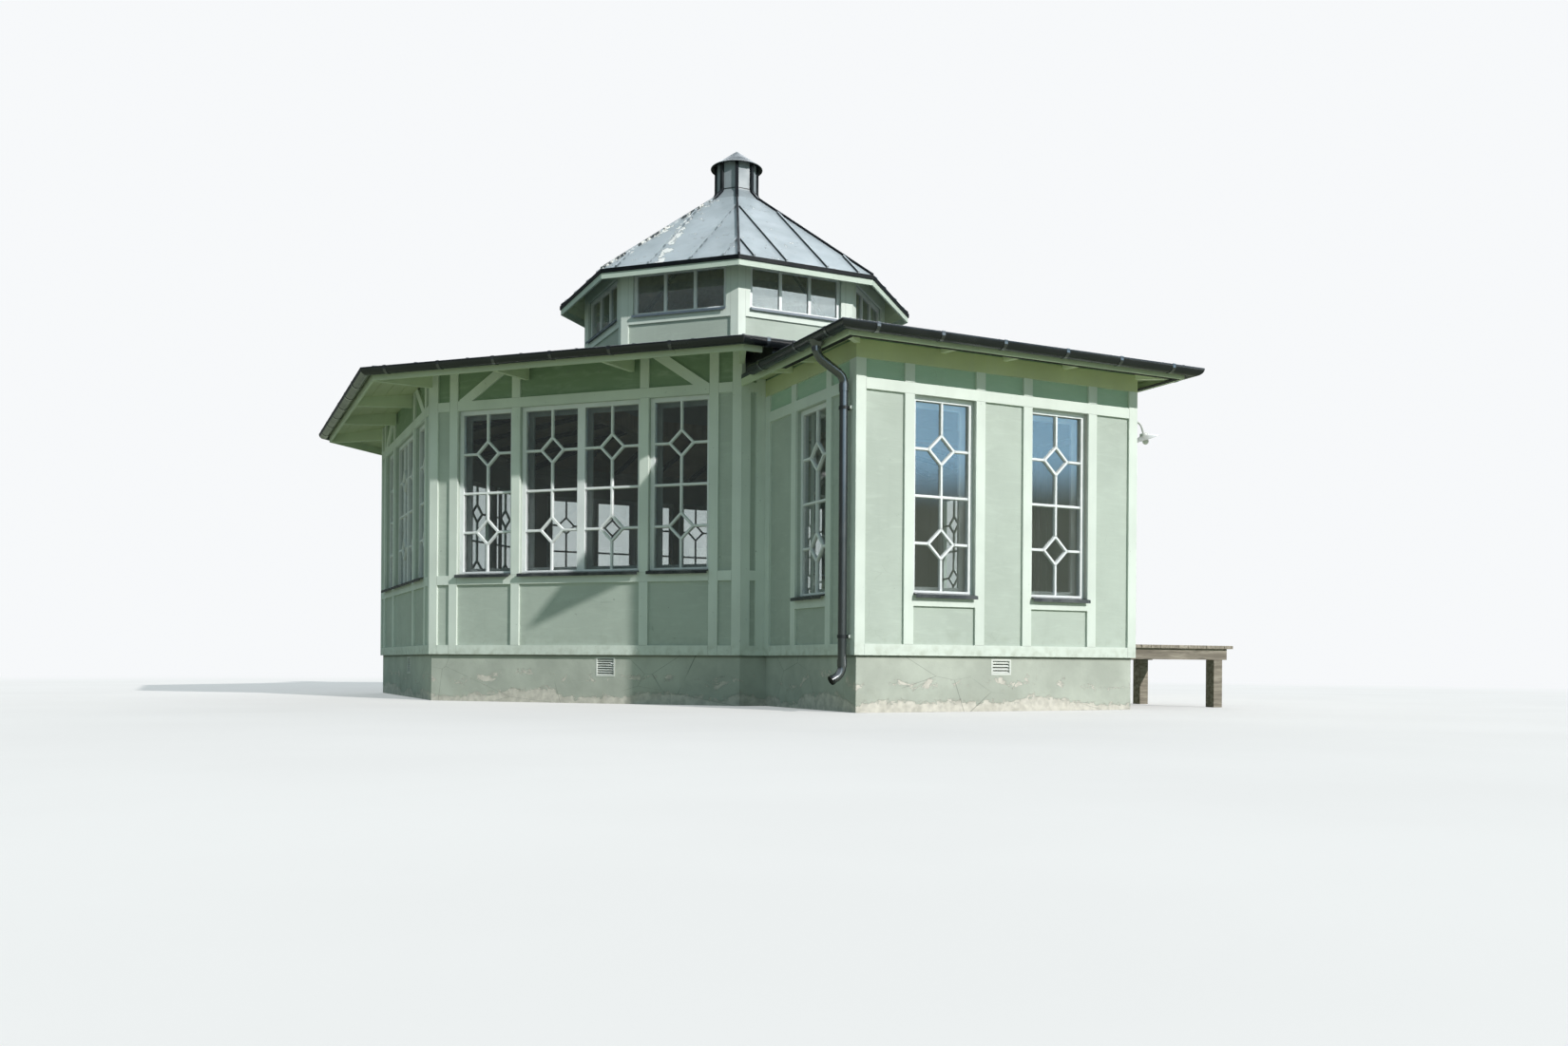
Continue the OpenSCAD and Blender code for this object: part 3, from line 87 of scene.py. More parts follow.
# Shapes


def circle(radius, sides):
    turns = [2 * pi * k / sides for k in range(sides)]
    return [(radius * cos(turn), radius * sin(turn)) for turn in turns]


def rectangle(x0, x1, y0, y1, z):
    return [(x0, y0, z), (x1, y0, z), (x1, y1, z), (x0, y1, z)]


class Builder:
    """Collects the points and faces of one joined mesh."""

    def __init__(self):
        self.points = []
        self.faces = []

    def loft(self, place, rings, ring_shape=False):
        """Joins rings of (x, y, depth) points, with closed ends unless they meet."""
        start = len(self.points)
        count = len(rings[0])
        for ring in rings:
            self.points += [place @ Vector(point) for point in ring]
        spans = len(rings) if ring_shape else len(rings) - 1
        for k in range(spans):
            low = start + k * count
            high = start + (k + 1) % len(rings) * count
            for n in range(count):
                after = (n + 1) % count
                self.faces.append([low + n, low + after, high + after, high + n])
        if not ring_shape:
            last = start + (len(rings) - 1) * count
            self.faces.append([start + n for n in reversed(range(count))])
            self.faces.append([last + n for n in range(count)])

    def block(self, place, x0, x1, y0, y1, z0, z1):
        """A box between two depths of a drawing."""
        self.loft(place, [rectangle(x0, x1, y0, y1, z) for z in (z0, z1)])

    def bar(self, place, start, stop, back_w, front_w, z0, z1):
        """A glazing bar between two points of a drawing, narrower at its front."""
        a, b = Vector(start), Vector(stop)
        across = Vector((a.y - b.y, b.x - a.x)).normalized()
        rings = []
        for width, z in ((back_w, z0), (front_w, z1)):
            side = across * width / 2
            rings.append([(c.x, c.y, z) for c in (a - side, b - side, b + side, a + side)])
        self.loft(place, rings)

    def tube(self, path, radius):
        """A round rod along a list of points."""
        rings = []
        for n, point in enumerate(path):
            before = Vector(path[max(n - 1, 0)])
            after = Vector(path[min(n + 1, len(path) - 1)])
            along = (after - before).normalized()
            if rings:
                side = (side - along * side.dot(along)).normalized()
            else:
                side = along.orthogonal().normalized()
            other = along.cross(side)
            steps = [radius * (x * side + y * other) for x, y in circle(1, TUBE_SIDES)]
            rings.append([Vector(point) + step for step in steps])
        self.loft(Matrix.Identity(4), rings)

    def disc(self, place, radius, z0, z1, sides):
        """A short round pin whose axis is the drawing's depth."""
        self.loft(place, [[(x, y, z) for x, y in circle(radius, sides)] for z in (z0, z1)])

    def piece(self, name, material, slot, bevel=0.0):
        """Makes the mesh an object that rides on the building."""
        mesh = bpy.data.meshes.new(name)
        mesh.from_pydata([tuple(point) for point in self.points], [], self.faces)
        mesh.validate()
        work = bmesh.new()
        work.from_mesh(mesh)
        bmesh.ops.recalc_face_normals(work, faces=work.faces)
        work.to_mesh(mesh)
        work.free()
        mesh.materials.append(materials[material])
        made = new_object(name, mesh)
        if bevel:
            round_edges(made, bevel)
        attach(made, "root")


def new_object(name, data):
    made = bpy.data.objects.new(name, data)
    bpy.context.scene.collection.objects.link(made)
    return made


def round_edges(thing, width):
    """A small rounding on every sharp edge."""
    modifier = thing.modifiers.new("edges", "BEVEL")
    modifier.width = width
    modifier.segments = 2
    modifier.limit_method = "ANGLE"
    modifier.angle_limit = radians(40)


def bearing(azimuth):
    """The level direction at an azimuth from the front to the right."""
    return Vector((sin(azimuth), -cos(azimuth), 0))


def side_out(k):
    """The outward direction of side k of the octagon; a hip is half a side on."""
    return bearing(-radians(45 * k))


def side_along(k):
    """The direction along the eave of side k."""
    out = side_out(k)
    return Vector((-out.y, out.x, 0))


def facing(origin, out, up=UP):
    """The matrix of a drawing: x runs right seen from outside, y up and z outward."""
    right = up.cross(out).normalized()
    place = Matrix((right, up, out)).transposed().to_4x4()
    place.translation = origin
    return place


def side_place(k, distance=0.0):
    """The drawing on side k, at a distance from the middle."""
    out = side_out(k)
    return facing(MIDDLE + out * distance, out)


def level_place(z):
    """A drawing seen from above, at a height."""
    return facing(Vector((0, 0, z)), UP, Vector((0, 1, 0)))


class Pane:
    """One pane of glass: the place of its drawing and its size."""

    def __init__(self, points, normal):
        low = Vector([min(p[n] for p in points) for n in range(3)])
        high = Vector([max(p[n] for p in points) for n in range(3)])
        centre = (low + high) / 2
        out = normal if normal.dot(centre - MIDDLE) > 0 else -normal
        self.place = facing(centre, (out * FLAT).normalized())
        inverse = self.place.inverted()
        flat = [inverse @ p for p in points]
        size = [max(p[n] for p in flat) - min(p[n] for p in flat) for n in range(3)]
        self.width, self.height, self.thickness = size


def connected(first, seen):
    """The vertices that hang together with one, added to those seen."""
    seen.add(first)
    group, stack = [], [first]
    while stack:
        vert = stack.pop()
        group.append(vert)
        for edge in vert.link_edges:
            other = edge.other_vert(vert)
            if other not in seen:
                seen.add(other)
                stack.append(other)
    return group


def panes(node):
    """Every separate pane of a glass node."""
    work = bmesh.new()
    work.from_mesh(nodes[node].data)
    bmesh.ops.remove_doubles(work, verts=work.verts, dist=1e-5)
    seen = set()
    found = []
    for first in work.verts:
        if first not in seen:
            group = connected(first, seen)
            faces = dict.fromkeys(face for vert in group for face in vert.link_faces)
            largest = max(faces, key=lambda face: face.calc_area())
            found.append(Pane([v.co.copy() for v in group], largest.normal.copy()))
    work.free()
    return found


# Materials


def shade(value, factor):
    return tuple(min(part * factor, 1.0) for part in value)


class Nodes:
    """A node tree that grows by short calls."""

    def __init__(self, tree, coordinates):
        self.tree = tree
        self.where = tree.nodes.new("ShaderNodeTexCoord").outputs[coordinates]

    def set(self, socket, value):
        """Links a socket, or gives it a number or a colour."""
        if isinstance(value, bpy.types.NodeSocket):
            self.tree.links.new(value, socket)
        else:
            socket.default_value = (*value, 1.0) if socket.type == "RGBA" else value

    def fill(self, node, **inputs):
        for name, value in inputs.items():
            self.set(node.inputs[name], value)

    def new(self, kind, *values, **inputs):
        """A node, with values for its first inputs or for some by name."""
        node = self.tree.nodes.new("ShaderNode" + kind)
        for socket, value in zip(node.inputs, values):
            self.set(socket, value)
        self.fill(node, **inputs)
        return node

    def stretched(self, stretch):
        if stretch == (1, 1, 1):
            return self.where
        return self.new("Mapping", Vector=self.where, Scale=stretch).outputs["Vector"]

    def noise(self, scale, detail, stretch=(1, 1, 1), distortion=0.0, roughness=0.5):
        node = self.new(
            "TexNoise", Vector=self.stretched(stretch), Scale=scale, Detail=detail,
            Roughness=roughness, Distortion=distortion,
        )
        return node.outputs["Fac"]

    def cracks(self, scale, stretch, width):
        """Thin lines between irregular cells."""
        node = self.new("TexVoronoi", Vector=self.stretched(stretch), Scale=scale)
        node.feature = "DISTANCE_TO_EDGE"
        return self.ramp(node.outputs["Distance"], 0.0, width, 1, 0)

    def math(self, operation, a, b=0.0):
        node = self.new("Math", a, b)
        node.operation = operation
        return node.outputs[0]

    def times(self, a, b):
        return self.math("MULTIPLY", a, b)

    def vectors(self, operation, a, b=(0, 0, 0), output="Value"):
        node = self.new("VectorMath", a, b)
        node.operation = operation
        return node.outputs[output]

    def height(self):
        return self.new("SeparateXYZ", self.where).outputs["Z"]

    def along(self, direction, origin=None):
        """How far a point lies along a direction, perhaps from an origin."""
        where = self.where
        if origin is not None:
            where = self.vectors("SUBTRACT", where, origin, "Vector")
        return self.vectors("DOT_PRODUCT", where, direction)

    def ramp(self, value, low, high, low_to=0, high_to=1):
        """A smooth step of a value from low to high."""
        node = self.new("MapRange", value, low, high, low_to, high_to)
        node.interpolation_type = "SMOOTHSTEP"
        return node.outputs["Result"]

    def patches(self, scale, detail, low=0.3, high=0.7, to=(0, 1), **form):
        """A smooth step of a noise from low to high; form goes to the noise."""
        return self.ramp(self.noise(scale, detail, **form), low, high, *to)

    def mix(self, factor, a, b):
        node = self.new("Mix")
        node.data_type = "RGBA"
        self.fill(node, Factor=factor, A=a, B=b)
        return node.outputs["Result"]

    def mix_shader(self, factor, first, second):
        return self.new("MixShader", factor, first, second).outputs[0]

    def light_path(self, kinds, unmet):
        """1 for rays of some kinds that have met none of the kinds of surface in unmet."""
        outputs = self.new("LightPath").outputs
        found = outputs[kinds[0]]
        for kind in kinds[1:]:
            found = self.math("MAXIMUM", found, outputs[kind])
        for depth in unmet:
            found = self.times(found, self.math("LESS_THAN", outputs[depth], 0.5))
        return found

    def seen_straight(self):
        """1 for what the camera sees itself, also through glass."""
        kinds = ("Is Camera Ray", "Is Transmission Ray")
        return self.light_path(kinds, ("Diffuse Depth", "Glossy Depth"))


class Look(Nodes):
    """A procedural material, kept under its name, whose colour is laid on in coats."""

    def __init__(self, name, specular=0.5):
        self.material = bpy.data.materials.new(name)
        self.material.use_nodes = True
        super().__init__(self.material.node_tree, "Object")
        self.shader = self.tree.nodes["Principled BSDF"]
        self.shader.inputs["Specular IOR Level"].default_value = specular
        materials[name] = self.material

    def mottled(self, mask, base, dark, light):
        """A colour between a darker and a lighter shade of itself."""
        return self.mix(mask, shade(base, dark), shade(base, light))

    def coat(self, mask, amount, tone):
        """Lays a colour over the rest where a mask shows, by an amount."""
        self.tone = self.mix(self.times(mask, amount), self.tone, tone)

    def soil(self, foot, reach, mask, amount, tone):
        """Patches of soil that fade out from a foot upward."""
        low = self.ramp(self.height(), foot, foot + reach, 1, 0)
        self.coat(self.times(low, mask), amount, tone)

    def finish(self, roughness, *bumps):
        """Sets colour, roughness and a chain of bumps, each (height, strength, distance)."""
        self.set(self.shader.inputs["Base Color"], self.tone)
        self.set(self.shader.inputs["Roughness"], roughness)
        below = {}
        for height, strength, distance in bumps:
            bump = self.new("Bump", Height=height, Strength=strength, Distance=distance, **below)
            below = {"Normal": bump.outputs["Normal"]}
        self.fill(self.shader, **below)


# Linear colours
MINT = (0.705, 0.768, 0.712)
SAGE = (0.46, 0.52, 0.465)
# The two frieze tones are partly paint the sun bleached less and partly painted shade and green
# bounce light under the eaves
FRIEZE_PAINTED_SHADE = (0.2, 0.3, 0.19)
ANNEX_FRIEZE_PAINTED_SHADE = (0.4, 0.58, 0.45)
# The eave boards' yellow-green tint is painted bounce light from the ground
EAVE_PAINTED_BOUNCE = (0.62, 0.7, 0.53)
DRIP_BOARD = (0.57, 0.655, 0.575)
# The rafter tails' paler tone is painted light bounced up onto them
RAFTER_TAIL_PAINTED_LIGHT = (0.78, 0.84, 0.64)
# The soffits' olive is painted green-yellow bounce light
SOFFIT_PAINTED_BOUNCE = (0.57, 0.63, 0.42)
# The annex's top band in olive: painted green-yellow bounce light
BAND_PAINTED_BOUNCE = (0.57, 0.62, 0.39)
WHITE = (0.82, 0.845, 0.86)
GUTTER = (0.01, 0.012, 0.015)
PALE_SHEET = (0.4, 0.45, 0.488)
DARK_SHEET = (0.045, 0.055, 0.065)
PLINTH = (0.485, 0.515, 0.462)
BARE = (0.66, 0.62, 0.57)

WORN_HIP = 1.5


def board_paint(name, base, streak=0.06, dirt_z=None, band_z=None):
    """Worn gloss paint on boards, soiled from dirt_z up; above band_z an olive tone of painted
    bounce light.
    """
    look = Look(name, 0.26)
    mottle = look.patches(1.7, 5)
    look.tone = look.mottled(mottle, base, 0.93, 1.05)
    if band_z:
        # Above band_z the olive of painted bounce light
        above = look.ramp(look.height(), band_z - 0.001, band_z + 0.001)
        look.tone = look.mix(above, look.tone, look.mottled(mottle, BAND_PAINTED_BOUNCE, 0.93, 1.05))
    look.coat(look.patches(9, 3, 0.52, 0.72, stretch=(1, 1, 0.12)), streak, shade(base, 0.72))
    look.coat(look.patches(34, 2, 0.735, 0.765), 0.45, shade(base, 0.42))
    if dirt_z:
        look.soil(dirt_z, 0.16, look.patches(14, 5, 0.35, 0.75), 0.38, (0.27, 0.29, 0.2))
    grain = look.noise(70, 3, (1, 1, 0.18))
    rough = look.patches(6, 3, to=(0.42, 0.58))
    look.finish(rough, (grain, 0.1, 0.002), (look.noise(3, 2), 0.05, 0.01))


def panel_paint(name, frieze_low, frieze_high, frieze):
    """Flat sheets under old paint, cracked, wavy and chipped; the frieze gets a darker, greener
    tone, partly paint the sun bleached less and partly painted shade and green bounce light under
    the eaves.
    """
    look = Look(name, 0.3)
    look.tone = look.mottled(look.patches(1.1, 6, 0.3, 0.72, roughness=0.6), SAGE, 0.93, 1.07)
    # The frieze tone between these heights is partly painted shade of the eaves
    above = look.ramp(look.height(), frieze_low, frieze_low + 0.02)
    below = look.ramp(look.height(), frieze_high, frieze_high + 0.1, 1, 0)
    look.coat(look.times(above, below), 0.85, frieze)
    brush = look.noise(4, 7, (1, 1, 4.5), 0.7, 0.6)
    look.coat(look.ramp(brush, 0.47, 0.74), 0.22, shade(SAGE, 1.38))
    look.coat(look.patches(8, 4, 0.56, 0.74, stretch=(1, 1, 0.1)), 0.12, shade(SAGE, 0.72))
    broken = look.cracks(5, (1, 1, 2.6), 0.01)
    broken = look.times(broken, look.patches(2, 4, 0.53, 0.6))
    look.coat(broken, 0.42, shade(SAGE, 0.58))
    look.coat(look.patches(24, 2, 0.765, 0.785), 0.55, shade(SAGE, 0.42))
    foot = PLINTH_H + BOARD_W
    look.soil(foot, 0.22, look.patches(11, 5, 0.4, 0.8), 0.22, (0.22, 0.24, 0.17))
    waves = (look.noise(3.6, 6, (1, 1, 4.5), 0.9), 0.22, 0.007)
    raised = (look.times(broken, -1), 0.4, 0.0015)
    rough = look.patches(4, 3, to=(0.5, 0.66))
    look.finish(rough, waves, raised, (look.noise(90, 2), 0.08, 0.0015))


def white_paint():
    """Glossier white joinery paint with thin grey soiling in fine streaks."""
    look = Look("white_paint", 0.45)
    look.tone = look.mottled(look.patches(3, 4), WHITE, 0.94, 1.03)
    look.coat(look.patches(40, 3, 0.62, 0.75, stretch=(1, 1, 0.3)), 0.22, (0.45, 0.46, 0.42))
    look.finish(look.patches(8, 2, to=(0.28, 0.42)), (look.noise(60, 3), 0.06, 0.001))


def coated_sheet(name, base, dust, roughness=(0.24, 0.42), specular=0.5, lacquer=None):
    """Painted sheet with a veil of dust and slight waves, perhaps under lacquer that rough."""
    look = Look(name, specular)
    if lacquer:
        for key, value in (("Weight", 1.0), ("Roughness", lacquer), ("IOR", 1.8)):
            look.shader.inputs["Coat " + key].default_value = value
    look.tone = base
    look.coat(look.patches(5, 6, 0.42, 0.78), dust, (0.2, 0.21, 0.21))
    scuff = look.patches(26, 5, 0.66, 0.74, stretch=(1, 1, 2))
    look.coat(scuff, dust * 0.6, (0.32, 0.33, 0.33))
    look.finish(look.patches(7, 4, to=roughness), (look.noise(1.6, 2), 0.05, 0.01))


def strip_mask(look, k, offset, reach, lean=0.0):
    """1 within reach of a line down side k, offset along its eave and leaning."""
    across = side_along(k) + side_out(k) * lean
    at = look.math("SUBTRACT", look.along(across, MIDDLE), offset)
    near = look.ramp(look.math("ABSOLUTE", at), reach * 0.3, reach, 1, 0)
    return look.times(near, look.ramp(look.along(side_out(k), MIDDLE), 0.3, 0.5))


def flakes(look):
    """Flakes paint off along the worn hip and down the slope beside it; returns where."""
    hip = look.times(strip_mask(look, WORN_HIP, 0.0, 0.13), 0.12)
    strip = look.times(strip_mask(look, 1, -0.402, 0.095, -0.127), 0.17)
    worn = look.math("MAXIMUM", hip, strip)
    chips = look.math("ADD", look.noise(9, 6, roughness=0.66), worn)
    look.coat(look.ramp(chips, 0.635, 0.645), 0.85, (0.035, 0.04, 0.045))
    lifted = look.ramp(chips, 0.66, 0.67)
    look.coat(lifted, 0.95, (0.9, 0.9, 0.88))
    return lifted


def lantern_sheet(name, base, dents, worn_hip):
    """Pale roofing paint, clouded, streaked and dented, that may flake along one hip."""
    look = Look(name, 0.4)
    look.tone = look.mottled(look.patches(1.3, 6, 0.3, 0.72, roughness=0.62), base, 0.88, 1.09)
    look.coat(look.patches(6, 5, 0.5, 0.76, stretch=(1, 1, 0.22)), 0.22, shade(base, 0.7))
    look.coat(look.patches(3.1, 6, 0.6, 0.7), 0.2, shade(base, 1.25))
    bumps = [(look.noise(2.4, 4), dents, 0.012)]
    if worn_hip:
        bumps.append((flakes(look), 0.5, 0.002))
    look.finish(look.patches(5, 4, to=(0.38, 0.55)), *bumps)


def flaked_roll():
    """The one hip whose black paint has come off in flakes down to white."""
    look = Look("flaked_roll", 0.3)
    chips = look.noise(13, 6, roughness=0.75)
    off = look.ramp(chips, 0.53, 0.55)
    look.tone = look.mix(off, (0.045, 0.055, 0.06), (0.8, 0.8, 0.77))
    look.coat(look.patches(6, 4, 0.5, 0.54), 0.8, PALE_SHEET)
    look.finish(look.ramp(chips, 0.4, 0.6, 0.5, 0.8), (off, 0.5, 0.002))


def painted_seam_shade(name, dark, broken_at):
    """The flank of a seam on the pale roof in painted shade, broken here and there by the sheet's
    own colour.
    """
    look = Look(name, 0.35)
    look.tone = dark
    broken = look.patches(9, 5, broken_at, broken_at + 0.08, roughness=0.6)
    look.coat(broken, 0.85, shade(PALE_SHEET, 0.9))
    look.finish(0.45, (look.noise(14, 3), 0.1, 0.003))


def dark_roof_sheet():
    """Dark roofing sheet, a little bleached and streaked down its slopes."""
    look = Look("dark_roof_sheet", 0.4)
    look.tone = look.mottled(look.patches(0.9, 6, 0.3, 0.72), DARK_SHEET, 0.8, 1.7)
    look.coat(look.patches(12, 6, 0.64, 0.72, roughness=0.7), 0.3, (0.22, 0.24, 0.2))
    look.finish(look.patches(4, 4, to=(0.36, 0.56)), (look.noise(1.8, 3), 0.15, 0.012))


def plinth_wear(look):
    """Where render is bare at the foot, and a margin that is above 0 where paint has peeled."""
    wander = look.patches(0.9, 4, to=(-0.075, 0.075), stretch=(1, 1, 0.2))
    level = look.math("ADD", look.height(), wander)
    fine = look.ramp(look.noise(13, 9, (1, 1, 1.6), 0.6, 0.78), 0.25, 0.75, -0.045, 0.045)
    bare = look.ramp(look.math("ADD", level, fine), 0.075, 0.09, 1, 0)
    offset = look.math("ABSOLUTE", look.math("SUBTRACT", level, 0.235))
    reach = look.ramp(look.noise(4.6, 9, (1, 1, 1.5), 0.8, 0.76), 0.49, 0.63, -0.02, 0.064)
    return bare, look.math("SUBTRACT", reach, offset)


def render_coat():
    """Painted plinth render: trowelled, cracked, peeled in a band and bare at the foot; painted
    shade rims the peeled paint and lies in a line under the boards.
    """
    look = Look("render_coat", 0.2)
    look.tone = look.mottled(look.patches(2.4, 7, 0.28, 0.72, roughness=0.6), PLINTH, 0.86, 1.1)
    bare, margin = plinth_wear(look)
    # A darker rim round the peeled patches: painted shade of the broken paint's edge
    look.coat(look.ramp(margin, -0.007, -0.001), 0.5, shade(PLINTH, 0.55))
    worn = look.math("MAXIMUM", bare, look.ramp(margin, 0.0, 0.003))
    look.coat(worn, 0.9, look.mottled(look.patches(17, 6), BARE, 0.84, 1.14))
    crack = look.times(look.cracks(1.1, (1, 1, 1.6), 0.004), look.patches(1.6, 2, 0.45, 0.55))
    look.coat(crack, 0.75, shade(PLINTH, 0.35))
    look.soil(0.0, 0.3, look.patches(6, 6, 0.45, 0.75), 0.3, (0.3, 0.29, 0.23))
    # A dark line just under the boards: painted shade of their overhang
    under = look.ramp(look.height(), PLINTH_H - 0.035, PLINTH_H - 0.01)
    look.coat(under, 0.6, shade(PLINTH, 0.25))
    trowelled = (look.noise(6, 7), 0.4, 0.015)
    sunk = (look.times(worn, -1), 0.6, 0.005)
    pits = (look.patches(38, 4, 0.3, 0.42, roughness=0.6), 0.3, 0.003)
    look.finish(look.patches(6, 3, to=(0.75, 0.92)), trowelled, sunk, pits)


def bare_wood(name, light, dark, stretch, weathered=0.0):
    """Plain wood with its grain along the axis that the stretch leaves long."""
    look = Look(name, 0.25)
    fibres = look.noise(3.2, 8, stretch, 0.4, 0.65)
    look.tone = look.mix(look.ramp(fibres, 0.35, 0.68), dark, light)
    look.coat(look.patches(1.6, 4, 0.35, 0.7), 0.35, shade(dark, 0.85))
    if weathered:
        cracks = look.patches(6, 5, 0.63, 0.68, stretch=stretch, distortion=0.2)
        look.coat(cracks, weathered, shade(dark, 0.35))
    look.finish(look.ramp(fibres, 0.3, 0.7, 0.55, 0.8), (fibres, 0.35, 0.004))


def window_glass(name, dust):
    """Clear glass with a faint green cast, the slight waves of old panes and some dust."""
    look = Look(name)
    look.shader.inputs["IOR"].default_value = 2.1
    veil = look.patches(4, 6, 0.25, 0.8, (1.0 - dust * 0.5, 1.0 - dust * 1.4))
    look.set(look.shader.inputs["Transmission Weight"], veil)
    film = look.patches(2, 5, 0.3, 0.75)
    look.tone = look.mix(film, (0.8, 0.86, 0.85), (0.9, 0.94, 0.93))
    look.finish(0.0, (look.noise(2.6, 2), 0.05, 0.004))


def opal_glass():
    look = Look("opal_glass")
    look.tone = look.mix(look.patches(20, 3), (0.8, 0.8, 0.76), (0.88, 0.88, 0.85))
    look.finish(0.2)


# Colour, dust, and for some the roughness from and to, the specular level and the lacquer
SHEETS = {
    "black_sheet": ((0.016, 0.018, 0.022), 0.25),
    "gutter_sheet": (GUTTER, 0.04, (0.15, 0.23), 0.6),
    "pipe_sheet": (shade(GUTTER, 1.5), 0.05, (0.3, 0.38), 0.9, 0.13),
    "clamp_sheet": (GUTTER, 0.15, (0.45, 0.55), 0.4),
    "strap_sheet": (shade(GUTTER, 1.6), 0.1, (0.2, 0.3), 0.5, 0.1),
    "blue_sheet": ((0.12, 0.155, 0.2), 0.35),
    "cap_sheet": ((0.06, 0.075, 0.088), 0.35, (0.35, 0.5)),
    "rim_painted_highlight": ((0.2, 0.22, 0.235), 0.3, (0.3, 0.45)),
    "seam_sheet": ((0.04, 0.05, 0.06), 0.3),
    "hip_sheet": (GUTTER, 0.12, (0.4, 0.5), 0.12),
    # Near-black painted shade for gaps and hollows
    "hollow_painted_shade": ((0.004, 0.004, 0.005), 0.02, (0.6, 0.8)),
    "zinc": ((0.5, 0.52, 0.53), 0.2, (0.25, 0.4)),
    "louvre_sheet": ((0.74, 0.76, 0.73), 0.1, (0.35, 0.5)),
    # The sills' sheet is a little lighter grey than the black sheet, partly painted sunlight
    "sill_sheet": ((0.035, 0.039, 0.045), 0.4, (0.22, 0.36)),
    "edge_sheet": ((0.006, 0.008, 0.01), 0.03, (0.36, 0.46), 0.08),
    "lamp_paint": ((0.62, 0.63, 0.61), 0.1, (0.3, 0.45)),
}
for name, values in SHEETS.items():
    coated_sheet(name, *values)

board_paint("mint_boards", MINT, 0.1, PLINTH_H)
board_paint("annex_paint", MINT, 0.1, PLINTH_H, BAND_Z)
board_paint("door_boards", shade(SAGE, 1.2), 0.1, FLOOR_Z)
board_paint("eave_boards", EAVE_PAINTED_BOUNCE)
board_paint("drip_boards", DRIP_BOARD)
board_paint("rafter_painted_light", RAFTER_TAIL_PAINTED_LIGHT)
board_paint("soffit_painted_bounce", SOFFIT_PAINTED_BOUNCE)
board_paint("joint_paint", shade(MINT, 0.42), 0.2)
board_paint("white_inside", (0.5, 0.5, 0.46), 0.03)
panel_paint("sage_panels", HEAD_Z + 0.03, EAVE_Z + 0.2, FRIEZE_PAINTED_SHADE)
panel_paint("annex_panels", ANNEX_HEAD_Z + 0.03, EAVE_Z, ANNEX_FRIEZE_PAINTED_SHADE)
white_paint()
lantern_sheet("lantern_sheet", PALE_SHEET, 0.18, True)
# The vent's sheet is darker than the roof's, partly painted shade from its cap
lantern_sheet("vent_sheet", shade(PALE_SHEET, 0.76), 0.16, False)
flaked_roll()
# The seams' flanks in painted shade: near-black, and less dark on the lit flanks
painted_seam_shade("flank_painted_shade", (0.02, 0.025, 0.03), 0.62)
painted_seam_shade("lit_flank", (0.13, 0.155, 0.17), 0.42)
dark_roof_sheet()
render_coat()
window_glass("clear_glass", 0.015)
window_glass("dusty_glass", 0.12)
opal_glass()
bare_wood("deck_wood", (0.46, 0.41, 0.34), (0.22, 0.19, 0.155), (9, 0.8, 9), 0.7)
bare_wood("post_wood", (0.4, 0.36, 0.3), (0.18, 0.155, 0.125), (0.8, 9, 9), 0.6)
bare_wood("floor_wood", (0.56, 0.42, 0.27), (0.32, 0.22, 0.13), (7, 0.5, 7))
bare_wood("ceiling_wood", (0.66, 0.55, 0.43), (0.44, 0.36, 0.27), (6, 6, 0.6))
bare_wood("batten_wood", (0.06, 0.042, 0.028), (0.032, 0.022, 0.015), (6, 6, 0.6))


# How far edges are rounded
SHARP = 0.0
SHEET_EDGE = 0.0015
JOINERY_EDGE = 0.002
BOARD_EDGE = 0.0025
TRIM_EDGE = 0.003
STONE_EDGE = 0.004
POST_EDGE = 0.005


def dress(material, edge, *names):
    """Gives CAD pieces their material and rounds their edges."""
    for name in names:
        thing = nodes[name]
        thing.data.materials.clear()
        thing.data.materials.append(materials[material])
        for polygon in thing.data.polygons:
            polygon.material_index = 0
        if edge:
            round_edges(thing, edge)


def line(name, material, wanted):
    """A second material on the faces of a CAD piece that wanted(face middle, normal) picks."""
    thing = nodes[name]
    thing.data.materials.append(materials[material])
    index = len(thing.data.materials) - 1
    for polygon in thing.data.polygons:
        if wanted(polygon.center, polygon.normal):
            polygon.material_index = index


ROUND_WALLS = [name for name in nodes if name.startswith("pavilion_wall_")] + ["lantern_walls"]
ANNEX_WALLS = [name for name in nodes if name.startswith("annex_wall_")]
FRAMES = [name for name in nodes if name.endswith("_frames")] + ["door_frame"]

dress("render_coat", STONE_EDGE, "plinth")
dress("louvre_sheet", SHARP, "plinth_vents")
dress("floor_wood", SHARP, "pavilion_floor", "annex_floor")
dress("sage_panels", SHARP, *ROUND_WALLS)
dress("annex_panels", SHARP, *ANNEX_WALLS)
dress("mint_boards", BOARD_EDGE, "pavilion_boards", "lantern_boards")
dress("annex_paint", BOARD_EDGE, "annex_boards")
dress("white_paint", TRIM_EDGE, *FRAMES)
dress("clear_glass", SHARP, "window_glass")
dress("dusty_glass", SHARP, "lantern_glass")
dress("sill_sheet", SHEET_EDGE, "window_sills")
dress("black_sheet", SHEET_EDGE, "eave_cheeks")
dress("door_boards", JOINERY_EDGE, "entrance_door")
dress("eave_boards", TRIM_EDGE, "pavilion_rafters", "pavilion_fascia", "annex_fascia")
dress("rafter_painted_light", TRIM_EDGE, "annex_rafters")
dress("drip_boards", TRIM_EDGE, "lantern_fascia")
dress("dark_roof_sheet", SHARP, "pavilion_roof", "annex_roof")
dress("seam_sheet", TRIM_EDGE, "pavilion_seams", "annex_seams")
dress("lantern_sheet", TRIM_EDGE, "lantern_seams")
dress("hip_sheet", TRIM_EDGE, "vent_rolls")
dress("gutter_sheet", SHARP, "pavilion_gutters", "annex_gutters")
